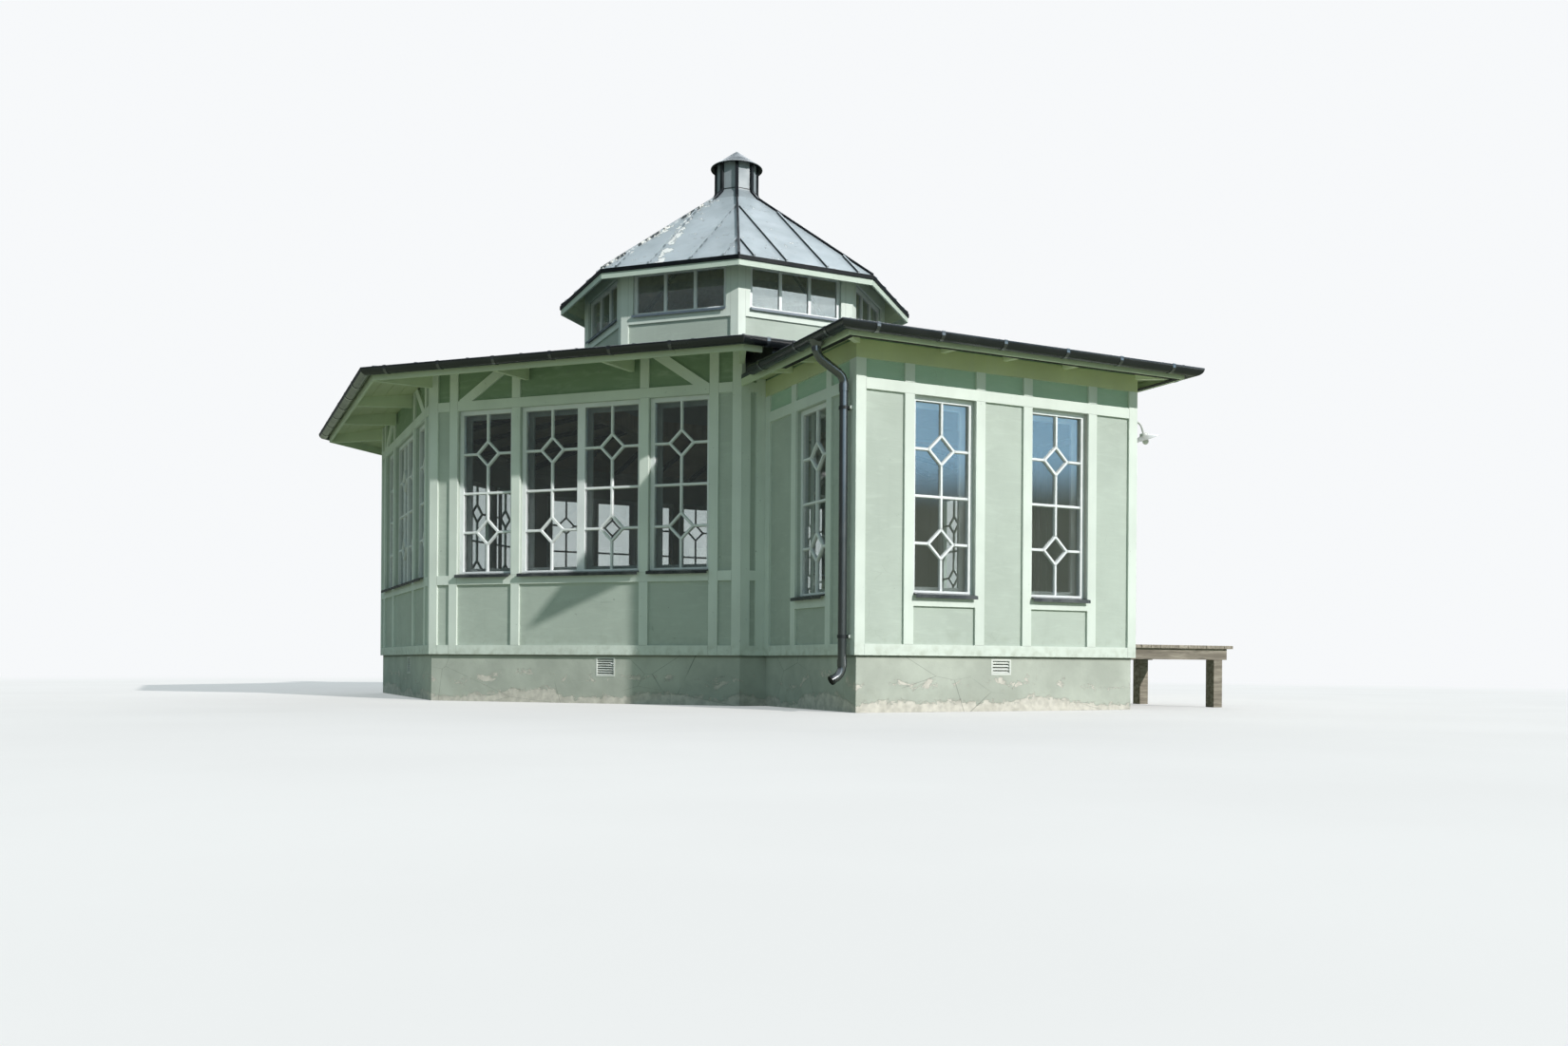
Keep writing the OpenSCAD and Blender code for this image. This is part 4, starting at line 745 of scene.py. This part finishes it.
dress("pipe_sheet", SHARP, "downpipe")
dress("clamp_sheet", SHARP, "pipe_clamps")
dress("edge_sheet", SHARP, "lantern_drip_edge")
dress("ceiling_wood", SHARP, "lantern_curb")
dress("blue_sheet", SHEET_EDGE, "lantern_sills")
dress("lantern_sheet", SHARP, "lantern_roof")
dress("vent_sheet", SHARP, "vent_shaft", "vent_skirt")
dress("cap_sheet", SHARP, "vent_cap")
dress("lamp_paint", SHARP, "lamp_arm", "lamp_shade")
dress("opal_glass", SHARP, "lamp_bulb")
dress("deck_wood", STONE_EDGE, "landing_planks")
dress("post_wood", POST_EDGE, "landing_beams", "landing_feet")


def inside_octagon(at, normal):
    """True on the faces of a round wall that look into the room."""
    out = (at - MIDDLE) * FLAT
    return normal.dot(out.normalized()) < -0.7


def inside_annex(at, normal):
    """True on the faces of an annex wall that look into the room."""
    return normal.dot((ANNEX_MIDDLE - at) * FLAT) > 0.5


def on_hip(at, hips):
    """True close to the upright plane through one of some hips, given in sides."""
    away = (at - MIDDLE) * FLAT
    return any(
        abs(away.dot(side_along(hip))) < HIP_REACH and away.dot(side_out(hip)) > 0 for hip in hips
    )


ANNEX_MIDDLE = middle("annex_floor")
HIPS = [k + 0.5 for k in SIDES]
HIP_REACH = 0.03
LIT_SIDE = -0.4
CAP_RIM_H = 0.03
CAP_RIM_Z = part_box("vent_cap")[0].z + CAP_RIM_H

for name in ROUND_WALLS:
    line(name, "white_inside", inside_octagon)
for name in ANNEX_WALLS:
    line(name, "white_inside", inside_annex)
# The roofs' undersides take the soffits' olive, a painted bounce light
for name in ("pavilion_roof", "annex_roof", "lantern_roof"):
    line(name, "soffit_painted_bounce", lambda at, normal: normal.z < -0.3)
# Seam flanks get painted shade, less dark where they face the front past LIT_SIDE; the hips' black
# and flaked white are paint
line("lantern_seams", "flank_painted_shade", lambda at, normal: abs(normal.z) < 0.5)
line("lantern_seams", "lit_flank", lambda at, normal: abs(normal.z) < 0.5 and normal.y <= LIT_SIDE)
line("lantern_seams", "hip_sheet", lambda at, normal: on_hip(at, HIPS))
line("lantern_seams", "flaked_roll", lambda at, normal: on_hip(at, [WORN_HIP]))
# The cap's underside in near-black is painted shade
line("vent_cap", "hip_sheet", lambda at, normal: normal.z < -0.2)
# The cap's rim in a paler grey is a painted highlight
line("vent_cap", "rim_painted_highlight", lambda at, normal: at.z < CAP_RIM_Z and normal.z > -0.2)


# Windows: white sashes whose bars part around an open diamond in each half

BAR_BACK_W = 0.03
BAR_FRONT_W = 0.019
BAR_DEPTH = 0.02
INNER_BAR_DEPTH = 0.012
BAR_LAP = 0.55
DIAMOND = 0.148
SASH_W = 0.038
SASH_DEPTH = 0.028
SASH_GAP = 0.062
SASH_LAP = 0.02


def lattice(mesh, pane, back, front):
    """The bars of one pane: a cross at mid height and a diamond in each half."""
    half_w, half_h = pane.width / 2, pane.height / 2
    rows = (-half_h / 2, half_h / 2)
    tip = DIAMOND - BAR_BACK_W * BAR_LAP
    runs = [
        (0, -half_h, 0, rows[0] - tip),
        (0, rows[0] + tip, 0, rows[1] - tip),
        (0, rows[1] + tip, 0, half_h),
    ]
    for s in (-1, 1):
        runs.append((s * half_w, 0, s * BAR_FRONT_W / 2, 0))
        runs += [(s * half_w, row, s * tip, row) for row in rows]
    for x0, y0, x1, y1 in runs:
        mesh.bar(pane.place, (x0, y0), (x1, y1), BAR_BACK_W, BAR_FRONT_W, back, front)
    for row in rows:
        diamond(mesh, pane.place, row, back, front)


def diamond(mesh, place, row, back, front):
    """A mitred ring of bars on its point, around the middle of a half."""
    middle_r = DIAMOND - BAR_BACK_W / 2 * sqrt(2)
    section = [
        (BAR_BACK_W / 2, back), (BAR_FRONT_W / 2, front),
        (-BAR_FRONT_W / 2, front), (-BAR_BACK_W / 2, back),
    ]
    rings = []
    for k in range(4):
        turn = k * pi / 2
        ring = []
        for offset, z in section:
            r = middle_r + offset * sqrt(2)
            ring.append((r * cos(turn), row + r * sin(turn), z))
        rings.append(ring)
    mesh.loft(place, rings, ring_shape=True)


def inner_sash(mesh, pane):
    """The four rails of the sash behind a pane."""
    half_w, half_h = pane.width / 2, pane.height / 2
    front = -pane.thickness / 2 - SASH_GAP
    back = front - SASH_DEPTH
    x = half_w + SASH_LAP
    mesh.block(pane.place, -x, x, half_h - SASH_W, half_h + SASH_LAP, back, front)
    mesh.block(pane.place, -x, x, -half_h - SASH_LAP, -half_h + SASH_W, back, front)
    for s in (-1, 1):
        edges = sorted((s * x, s * (half_w - SASH_W)))
        mesh.block(pane.place, *edges, -half_h + SASH_W, half_h - SASH_W, back, front)


def sashes():
    bars, inner = Builder(), Builder()
    for pane in panes("window_glass"):
        face = pane.thickness / 2
        lattice(bars, pane, face, face + BAR_DEPTH)
        lattice(bars, pane, -face, -face - INNER_BAR_DEPTH)
        inner_sash(inner, pane)
    bars.piece("glazing_bars", "white_paint", "white_wood")
    inner.piece("inner_sashes", "white_paint", "white_wood", JOINERY_EDGE)


sashes()


# Boards under the eaves and the ceilings inside

TOUCH = 0.001
CLEAR = 0.002
SOFFIT_T = 0.006
SOFFIT_W = 0.155
SOFFIT_GAP = 0.005
LANTERN_SOFFIT_W = 0.09
CEILING_T = 0.014
LANTERN_CEILING_T = 0.012
PLANK_W = 0.15
LANTERN_PLANK_W = 0.12
PLANK_GAP = 0.004
CEILING_TOP_A = 0.27
PLANK_CLEAR = 0.004
CURB_CLEAR = 0.01
BATTEN_CLEAR = 0.02
BATTEN = (0.045, 0.055)
BATTEN_OFFSETS = (-0.95, -0.32, 0.32, 0.95)
HIP_BATTEN = (0.06, 0.065)
LANTERN_BATTEN = (0.05, 0.05)
HIP_SINK = 0.004
CORNICE_H = 0.055
CORNICE_STEPS = ((0.16, 0.022), (0.1, 0.045), (0.045, 0.07))
ANNEX_PLANKS = 18
ANNEX_CEILING_RISE = 0.12
GAP_W = 0.055
GAP_LEVELS = (0.003, 0.009)
GAP_RUN = 1.3


def roof_level(a):
    """Height of the underside of the pavilion roof at a distance from the middle."""
    return EAVE_Z + (FASCIA_A - a) * ROOF_SLOPE


def lantern_level(a):
    return LANTERN_EAVE_Z + (LANTERN_EDGE_A - a) * LANTERN_SLOPE


def boards_up(mesh, level, start, stop, width, thickness, gap=PLANK_GAP):
    """Boards along all eight sides under a roof whose underside is at level(distance)."""
    count = max(1, round((stop - start) / width))
    step = (stop - start) / count
    for k in SIDES:
        for n in range(count):
            rings = []
            for a in (start + n * step + gap / 2, start + (n + 1) * step - gap / 2):
                x = a * TAN_HALF - CLEAR
                high = level(a) + TOUCH
                rings.append(rectangle(-x, x, high - thickness, high, a))
            mesh.loft(side_place(k), rings)


def battens_up(mesh, level, drop, start, stop, section, offsets):
    """Battens up all eight slopes, a drop below the roof, at some offsets along the eave."""
    width, depth = section
    for k in SIDES:
        for offset in offsets:
            top = max(start, (abs(offset) + width) / TAN_HALF)
            x0, x1 = offset - width / 2, offset + width / 2
            rings = []
            for a in (top, stop):
                high = level(a) - drop
                rings.append(rectangle(x0, x1, high - depth, high, a))
            mesh.loft(side_place(k), rings)


def hip_battens(mesh, level, drop, start, stop, section):
    """Battens along the eight hips, a drop below the roof."""
    width, depth = section
    for hip in HIPS:
        rings = []
        for a in (start, stop):
            high = level(a) - drop - HIP_SINK
            rings.append(rectangle(-width / 2, width / 2, high - depth, high, a / cos(HALF)))
        mesh.loft(side_place(hip), rings)


def eave_linings():
    boards = Builder()
    for level, start, stop, width, gap in (
        (roof_level, WALL_A, FASCIA_A, SOFFIT_W, SOFFIT_GAP),
        (lantern_level, LANTERN_A, LANTERN_EDGE_A, LANTERN_SOFFIT_W, PLANK_GAP),
    ):
        boards_up(boards, level, start + TOUCH, stop - BOARD_T - TOUCH, width, SOFFIT_T, gap)
    boards.piece("soffit_boards", "soffit_painted_bounce", "eave_wood")


def ceilings():
    planks, battens = Builder(), Builder()
    level = roof_level
    start, stop = LANTERN_A + CURB_CLEAR, INNER_A - PLANK_CLEAR
    boards_up(planks, level, start, stop, PLANK_W, CEILING_T)
    start, stop = LANTERN_A + BATTEN_CLEAR, INNER_A - CURB_CLEAR
    battens_up(battens, level, CEILING_T, start, stop, BATTEN, BATTEN_OFFSETS)
    hip_battens(battens, level, CEILING_T, start, INNER_A - BATTEN_CLEAR, HIP_BATTEN)
    level = lantern_level
    start, inner = CEILING_TOP_A, LANTERN_A - BOARD_T - LANTERN_CORE_T
    boards_up(planks, level, start, inner - PLANK_CLEAR, LANTERN_PLANK_W, LANTERN_CEILING_T)
    stop = inner - BATTEN_CLEAR
    hip_battens(battens, level, LANTERN_CEILING_T, start, stop, LANTERN_BATTEN)
    planks.piece("ceiling_planks", "ceiling_wood", "inner_wood")
    battens.piece("ceiling_battens", "batten_wood", "inner_wood", TRIM_EDGE)


def cornices():
    """Stepped mouldings where the pavilion's ceiling meets its walls."""
    steps = Builder()
    top = roof_level(INNER_A) - CEILING_T - CLEAR
    for k in SIDES:
        for low, reach in CORNICE_STEPS:
            a = INNER_A - reach
            x = a * TAN_HALF
            z = top - low
            steps.block(side_place(k), -x, x, z, z + CORNICE_H, a, INNER_A - TOUCH)
    steps.piece("cornices", "white_inside", "white_wood")


def annex_ceiling():
    low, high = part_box("annex_floor")
    place = level_place(ANNEX_HEAD_Z + ANNEX_CEILING_RISE)
    planks = Builder()
    step = (high.x - low.x - 2 * CLEAR) / ANNEX_PLANKS
    for n in range(ANNEX_PLANKS):
        x = low.x + CLEAR + n * step
        x0, x1 = x + CLEAR, x + step - CLEAR
        planks.block(place, x0, x1, low.y + CLEAR, high.y - CLEAR, 0, CEILING_T)
    planks.piece("annex_ceiling", "ceiling_wood", "inner_wood")


def annex_gap():
    """The gap between the fascia of the annex and its soffit, closed by a narrow near-black strip
    that is painted shade.
    """
    low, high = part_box("annex_fascia")
    place = level_place(low.z)
    wide = high.x - BOARD_T
    back = low.y + BOARD_T
    inner = back + GAP_W
    strip = Builder()
    strip.block(place, -wide, wide, back, inner, *GAP_LEVELS)
    for s in (-1, 1):
        edges = sorted((s * wide, s * (wide - GAP_W)))
        strip.block(place, *edges, inner, back + GAP_RUN, *GAP_LEVELS)
    strip.piece("annex_eave_gap", "hollow_painted_shade", "eave_wood")


eave_linings()
ceilings()
cornices()
annex_ceiling()
annex_gap()


# Gutter straps with their screws

STRAP_W = 0.032
STRAP_T = 0.004
STRAP_GRIP = 0.001
STRAP_POINTS = 14
STRAP_TURN = 12.1
TONGUE_DROP = 0.026
TONGUE_T = 0.005
TONGUE_GAP = 0.0002
HOOK_TOP = 0.01
HOOK_FOOT = 0.006
HOOK_REACH = 0.02
SCREW = (0.005, -0.001, 0.003, 10)
SCREW_IN = 0.011
STRAP_STEP = 0.62
STRAP_SHIFT = 0.085
CORNER_STRAP = 0.195
ANNEX_END_STRAPS = (-1.55, -0.94, -0.32, 0.33, 0.92, 1.52)
ANNEX_SIDE_STRAPS = (0.195, 0.775, 1.505)


def strap(bands, screws, place, u, back, rim_z):
    """A band round the gutter's underside and over its rolled lip, with its screw."""
    left, right = u - STRAP_W / 2, u + STRAP_W / 2
    inside, outside = GUTTER_R - STRAP_GRIP, GUTTER_R + STRAP_T
    rings = []
    for n in range(STRAP_POINTS):
        turn = radians(180 + STRAP_TURN * n)
        rings.append([
            (x, rim_z + r * sin(turn), back + GUTTER_R + r * cos(turn))
            for r, x in ((inside, left), (inside, right), (outside, right), (outside, left))
        ])
    bands.loft(place, rings)
    edge = back + 2 * GUTTER_R
    top = rim_z + HOOK_TOP
    bands.block(place, left, right, rim_z - TONGUE_DROP, top, edge - TONGUE_T, edge - TONGUE_GAP)
    bands.block(place, left, right, rim_z + HOOK_FOOT, top, edge - HOOK_REACH, edge - STRAP_GRIP)
    down = place @ Matrix.Translation((u, top, edge - SCREW_IN))
    screws.disc(down @ Matrix.Rotation(-pi / 2, 4, "X"), *SCREW)


def straps():
    bands, screws = Builder(), Builder()
    corner = FASCIA_A * TAN_HALF
    rim_z = EAVE_Z + GUTTER_LIFT
    low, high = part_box("annex_fascia")
    annex_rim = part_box("annex_roof")[0].z + GUTTER_LIFT
    for k in range(1, 8):
        for n in range(-3, 3):
            u = n * STRAP_STEP + STRAP_SHIFT
            strap(bands, screws, side_place(k), u, FASCIA_A, rim_z)
    for u in ANNEX_END_STRAPS:
        strap(bands, screws, side_place(0), u, MIDDLE.y - low.y, annex_rim)
    for s in (-1, 1):
        place = facing(Vector((0, low.y, 0)), Vector((s, 0, 0)))
        for far in ANNEX_SIDE_STRAPS:
            strap(bands, screws, place, s * far, high.x, annex_rim)
        strap(bands, screws, side_place(0), s * (corner - CORNER_STRAP), FASCIA_A, rim_z)
    bands.piece("gutter_straps", "strap_sheet", "gutter_sheet")
    screws.piece("strap_screws", "zinc", "vent_metal")


straps()


# Hairline joints where the boards butt

JOINT_W = 0.0022
JOINT_DEPTHS = (-0.003, 0.0005)
CORNER_PANEL_W = 0.145
WINDOW_W = 0.645
ANNEX_WINDOW_W = 0.63
FOOT_RAIL = (PLINTH_H, PLINTH_H + BOARD_W)


def upright(mesh, place, x, z0, z1):
    half = JOINT_W / 2
    mesh.block(place, x - half, x + half, z0 + CLEAR, z1 - CLEAR, *JOINT_DEPTHS)


def level_joint(mesh, place, x0, x1, z):
    """A level joint across a board between two distances from the middle of a wall."""
    low, high = sorted((x0, x1))
    half = JOINT_W / 2
    mesh.block(place, low + CLEAR, high - CLEAR, z - half, z + half, *JOINT_DEPTHS)


def wall_joints(joints, place, posts, windows, rails):
    """Joints beside posts at every rail, and on the boards beside windows."""
    levels = [z for rail in rails for z in rail][1:]
    for s in (-1, 1):
        for low, high in rails:
            for x in posts:
                upright(joints, place, s * x, low, high)
        for x in windows:
            for z in levels:
                level_joint(joints, place, s * x, s * (x + BOARD_W), z)


def pavilion_joints(joints):
    corner = WALL_A * TAN_HALF - BOARD_W
    post = corner - CORNER_PANEL_W
    inner = post - BOARD_W - WINDOW_W - BOARD_W
    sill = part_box("pavilion_window_frames")[0].z
    rails = (FOOT_RAIL, (sill - BOARD_W, sill), (HEAD_Z, HEAD_Z + BOARD_W))
    for k in range(1, 8):
        place = side_place(k, WALL_A)
        wall_joints(joints, place, (corner, post, post - BOARD_W), (inner,), rails)


def annex_joints(joints):
    low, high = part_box("annex_boards")
    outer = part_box("annex_window_frames")[1].x
    place = facing(Vector((0, low.y, 0)), bearing(0))
    windows = (outer, outer - ANNEX_WINDOW_W - BOARD_W)
    rails = (FOOT_RAIL, (ANNEX_HEAD_Z, ANNEX_HEAD_Z + BOARD_W))
    wall_joints(joints, place, (high.x - BOARD_W,), windows, rails)


def lantern_joints(joints):
    x = LANTERN_A * TAN_HALF - BOARD_W
    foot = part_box("lantern_window_frames")[0].z - BOARD_W - CLEAR
    top = lantern_level(LANTERN_A)
    for k in SIDES:
        for s in (-1, 1):
            upright(joints, side_place(k, LANTERN_A), s * x, foot, top)


def board_joints():
    joints = Builder()
    pavilion_joints(joints)
    annex_joints(joints)
    lantern_joints(joints)
    joints.piece("board_joints", "joint_paint", "boards")


board_joints()


# Small metalwork. A disc has a radius, two depths and a number of sides

FOLD_T = 0.005
FOLD_SUNK = 0.004
FOLD_EDGE = 0.001
CLAMP_R = 0.0425
PIN_IN = 0.012
PIN_UP = 0.014
PIN_DISCS = ((0.006, 0.0, 0.052, 10), (0.017, 0.044, 0.06, 18))
SHOE_TURN = radians(62)
SHOE_BEND_R = 0.11
SHOE_STRAIGHT = 0.045
SHOE_Z = 0.39
RIM_R = 0.0415
RIM_INNER_R = 0.036
RIM_DEPTHS = (-0.012, 0.008)
RIM_SIDES = 32
MOUTH_R = 0.0365
MOUTH_DEPTHS = (-0.004, 0.001)
LOCK_IN = 0.06
LOCK_UP = 1.03
LOCK_DISCS = ((0.026, 0.0, 0.008, 24), (0.01, 0.006, 0.05, 16))
LEVER_XS = (-0.008, 0.03, 0.06, 0.09, 0.125)
LEVER_SAG = 0.1
LEVER_OUT = 0.046
LEVER_R = 0.009
KEY_DROP = 0.075
KEY_DISCS = ((0.022, 0.0, 0.006, 24), (0.006, 0.004, 0.009, 12))
HINGE_RISES = (0.25, 1.02, 1.75)
HINGE_OUT = 0.004
HINGE_SIDE = 0.001
HINGE_HALF = 0.05
HINGE_R = 0.008
HINGE_TIP = 0.06
HINGE_TIP_R = 0.005
FURNITURE_EDGE = 0.0008


def vent_joint():
    """The folded joint where the flared foot of the vent meets its shaft, drawn near-black as
    painted shade of the fold.
    """
    shaft_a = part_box("vent_shaft")[1].y - MIDDLE.y
    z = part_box("vent_skirt")[1].z
    outer = shaft_a + FOLD_T
    x = outer * TAN_HALF
    band = Builder()
    for k in SIDES:
        band.block(side_place(k), -x, x, z - FOLD_T, z + FOLD_T, shaft_a - FOLD_SUNK, outer)
    band.piece("vent_joint", "flank_painted_shade", "vent_sheet", FOLD_EDGE)


def clamp_pins():
    """The pins that hold the downpipe's clamps, with their round heads."""
    low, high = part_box("pipe_clamps")
    pins = Builder()
    for z in (low.z + PIN_UP, high.z - PIN_UP):
        at = Vector((high.x - PIN_IN, (low.y + high.y) / 2, z))
        for disc in PIN_DISCS:
            pins.disc(facing(at, bearing(0)), *disc)
    pins.piece("clamp_pins", "louvre_sheet", "vent_metal", TRIM_EDGE)


def shoe_place():
    """The drawing on the open end of the downpipe's shoe."""
    low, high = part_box("pipe_clamps")
    sine, cosine = sin(SHOE_TURN), cos(SHOE_TURN)
    out = Vector((-sine, 0, -cosine))
    x = low.x + CLAMP_R - SHOE_BEND_R * (1 - cosine)
    bend_end = Vector((x, (low.y + high.y) / 2, SHOE_Z - SHOE_BEND_R * sine))
    return facing(bend_end + out * SHOE_STRAIGHT, out, Vector((-cosine, 0, sine)))


def shoe_mouth():
    """The open end of the downpipe's shoe, with its turned rim and a near-black disc inside that
    is painted shade of the hollow.
    """
    place = shoe_place()
    rim, hole = Builder(), Builder()
    back, front = RIM_DEPTHS
    section = ((RIM_R, back), (RIM_R, front), (RIM_INNER_R, front), (RIM_INNER_R, back))
    rings = [[(r * x, r * y, z) for r, z in section] for x, y in circle(1, RIM_SIDES)]
    rim.loft(place, rings, ring_shape=True)
    rim.piece("shoe_rim", "gutter_sheet", "gutter_sheet")
    hole.disc(place, MOUTH_R, *MOUTH_DEPTHS, RIM_SIDES)
    hole.piece("shoe_mouth", "hollow_painted_shade", "gutter_sheet")


def door_furniture():
    """A lever on its rose, a key plate and three hinges on the entrance door."""
    low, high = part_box("entrance_door")
    metal = Builder()
    at = Vector((high.x, low.y + LOCK_IN, FLOOR_Z + LOCK_UP))
    lock = facing(at, Vector((1, 0, 0)))
    for disc in LOCK_DISCS:
        metal.disc(lock, *disc)
    lever = [lock @ Vector((x, -LEVER_SAG * x * x, LEVER_OUT)) for x in LEVER_XS]
    metal.tube(lever, LEVER_R)
    for disc in KEY_DISCS:
        metal.disc(lock @ Matrix.Translation((0, -KEY_DROP, 0)), *disc)
    x, y = high.x + HINGE_OUT, high.y + HINGE_SIDE
    for rise in HINGE_RISES:
        z = FLOOR_Z + rise
        metal.tube([(x, y, z - HINGE_HALF), (x, y, z + HINGE_HALF)], HINGE_R)
        metal.tube([(x, y, z + HINGE_HALF), (x, y, z + HINGE_TIP)], HINGE_TIP_R)
    metal.piece("door_furniture", "zinc", "vent_metal", FURNITURE_EDGE)


vent_joint()
clamp_pins()
shoe_mouth()
door_furniture()


# Stage, light and camera

SUN_AZIMUTH = radians(20.8)
LAMPS = {
    "key": (SUN_AZIMUTH, radians(29.3), 3.45, radians(1), (1.0, 0.975, 0.945)),
    "back_fill": (radians(150), radians(32), 0.9, radians(35), (0.92, 0.96, 1.0)),
}
LAMP_DISTANCE = 30
SOFTBOX_AZIMUTH = radians(50)
SOFTBOX_TINT = (4.5, 4.8, 4.8)
WORLD_LIGHT = 0.4
WORLD_TINT = (0.69, 0.95, 1.0)
BACKDROP = (0.93, 0.945, 0.96)
BOUNCE = (0.34, 0.37, 0.27)
FLOOR_R = 160
FLOOR_UNDER = -0.001
FLOOR_FADES = (8, 24)
FLOOR_LIFT = 0.35
FLOOR_TONES = ((0.84, 0.8, 0.785), (0.88, 0.84, 0.825))
CAMERA_FROM_MIDDLE = Vector((-6.581, -15.279, 0.4))
CAMERA_LOOKS = Vector((0.4321, 0.9018, 0)).normalized()
CAMERA_ROLL = radians(0.3937)
FOCAL_PX = 1328.99
HORIZON_PX = 699.58
IMAGE_W = 1650
IMAGE_H = 1101

# What gloss sees: a colour low down, then heights between which others follow
DIM_SKY = ((0.07, 0.08, 0.08), (0.22, 0.55, (0.72, 0.82, 0.9)))
LIT_SKY = (
    (0.26, 0.3, 0.24), (0.12, 0.165, (0.85, 1.45, 1.95)),
    (0.235, 0.275, (2.0, 2.3, 2.35)), (0.34, 0.45, (0.72, 0.9, 1.05)),
)


def floor_look():
    """Keeps the shadow and fades into the backdrop; duller where it isn't seen straight."""
    look = Look("floor", 0.1)
    look.tone = look.mix(look.patches(0.5, 4), *FLOOR_TONES)
    look.finish(0.9)
    far = look.ramp(look.vectors("LENGTH", look.where), *FLOOR_FADES)
    pale = look.new("Emission", Color=BACKDROP).outputs[0]
    shown = look.mix_shader(look.math("MAXIMUM", far, FLOOR_LIFT), look.shader.outputs[0], pale)
    dull = look.new("BsdfDiffuse", Color=BOUNCE).outputs[0]
    out = look.tree.nodes["Material Output"]
    look.fill(out, Surface=look.mix_shader(look.seen_straight(), dull, shown))
    return look.material


def floor():
    bpy.ops.mesh.primitive_circle_add(
        vertices=96, radius=FLOOR_R, fill_type="NGON", location=(0, 0, FLOOR_UNDER),
    )
    ground = bpy.context.object
    ground.name = "floor"
    ground.data.materials.append(floor_look())


def sun_lamp(name, azimuth, height, energy, angle, tint):
    """A parallel lamp at an azimuth from the front, to the right, and a height."""
    data = bpy.data.lights.new(name, "SUN")
    data.energy = energy
    data.angle = angle
    data.color = tint
    lamp = new_object(name, data)
    level = cos(height)
    towards = Vector((sin(azimuth) * level, -cos(azimuth) * level, sin(height)))
    lamp.rotation_mode = "QUATERNION"
    lamp.rotation_quaternion = towards.to_track_quat("Z", "Y")
    lamp.location = towards * LAMP_DISTANCE


def sky_steps(sky, tone, *steps):
    for low, high, upper in steps:
        tone = sky.mix(sky.ramp(sky.height(), low, high), tone, upper)
    return tone


def graded_sky(sky):
    """Pale bands on the key's side, dark low down on the other side, and one bright strip."""
    side = sky.ramp(sky.along(bearing(SUN_AZIMUTH)), 0.15, 0.85)
    tone = sky.mix(side, sky_steps(sky, *DIM_SKY), sky_steps(sky, *LIT_SKY))
    strip = sky.ramp(sky.along(bearing(SOFTBOX_AZIMUTH)), 0.985, 0.993)
    return sky.mix(strip, tone, SOFTBOX_TINT)


def world_look():
    """An even dim light, a pale backdrop seen straight, and a graded sky for gloss."""
    world = bpy.data.worlds.new("studio")
    bpy.context.scene.world = world
    world.use_nodes = True
    world.node_tree.nodes.clear()
    sky = Nodes(world.node_tree, "Generated")
    light = sky.new("Background", Color=WORLD_TINT, Strength=WORLD_LIGHT).outputs[0]
    seen = sky.new("Background", Color=BACKDROP).outputs[0]
    gloss = sky.new("Background", Color=graded_sky(sky)).outputs[0]
    mirrored = sky.light_path(("Is Glossy Ray", "Is Transmission Ray"), ("Diffuse Depth",))
    unseen = sky.mix_shader(mirrored, light, gloss)
    sky.new("OutputWorld", sky.mix_shader(sky.seen_straight(), unseen, seen))


def camera():
    """The photograph's camera: level, turned a little and shifted up, with a slight roll."""
    data = bpy.data.cameras.new("camera")
    data.sensor_width = 36
    data.lens = FOCAL_PX / IMAGE_W * data.sensor_width
    data.shift_y = (HORIZON_PX - IMAGE_H / 2) / IMAGE_W
    data.clip_end = 500
    view = new_object("camera", data)
    level_right = Vector((CAMERA_LOOKS.y, -CAMERA_LOOKS.x, 0))
    right = cos(CAMERA_ROLL) * level_right + sin(CAMERA_ROLL) * UP
    top = cos(CAMERA_ROLL) * UP - sin(CAMERA_ROLL) * level_right
    place = Matrix((right, top, -CAMERA_LOOKS)).transposed().to_4x4()
    place.translation = MIDDLE + CAMERA_FROM_MIDDLE
    view.matrix_world = place
    bpy.context.scene.camera = view


floor()
for name, values in LAMPS.items():
    sun_lamp(name, *values)
world_look()
camera()
bpy.context.scene.view_settings.view_transform = "Standard"
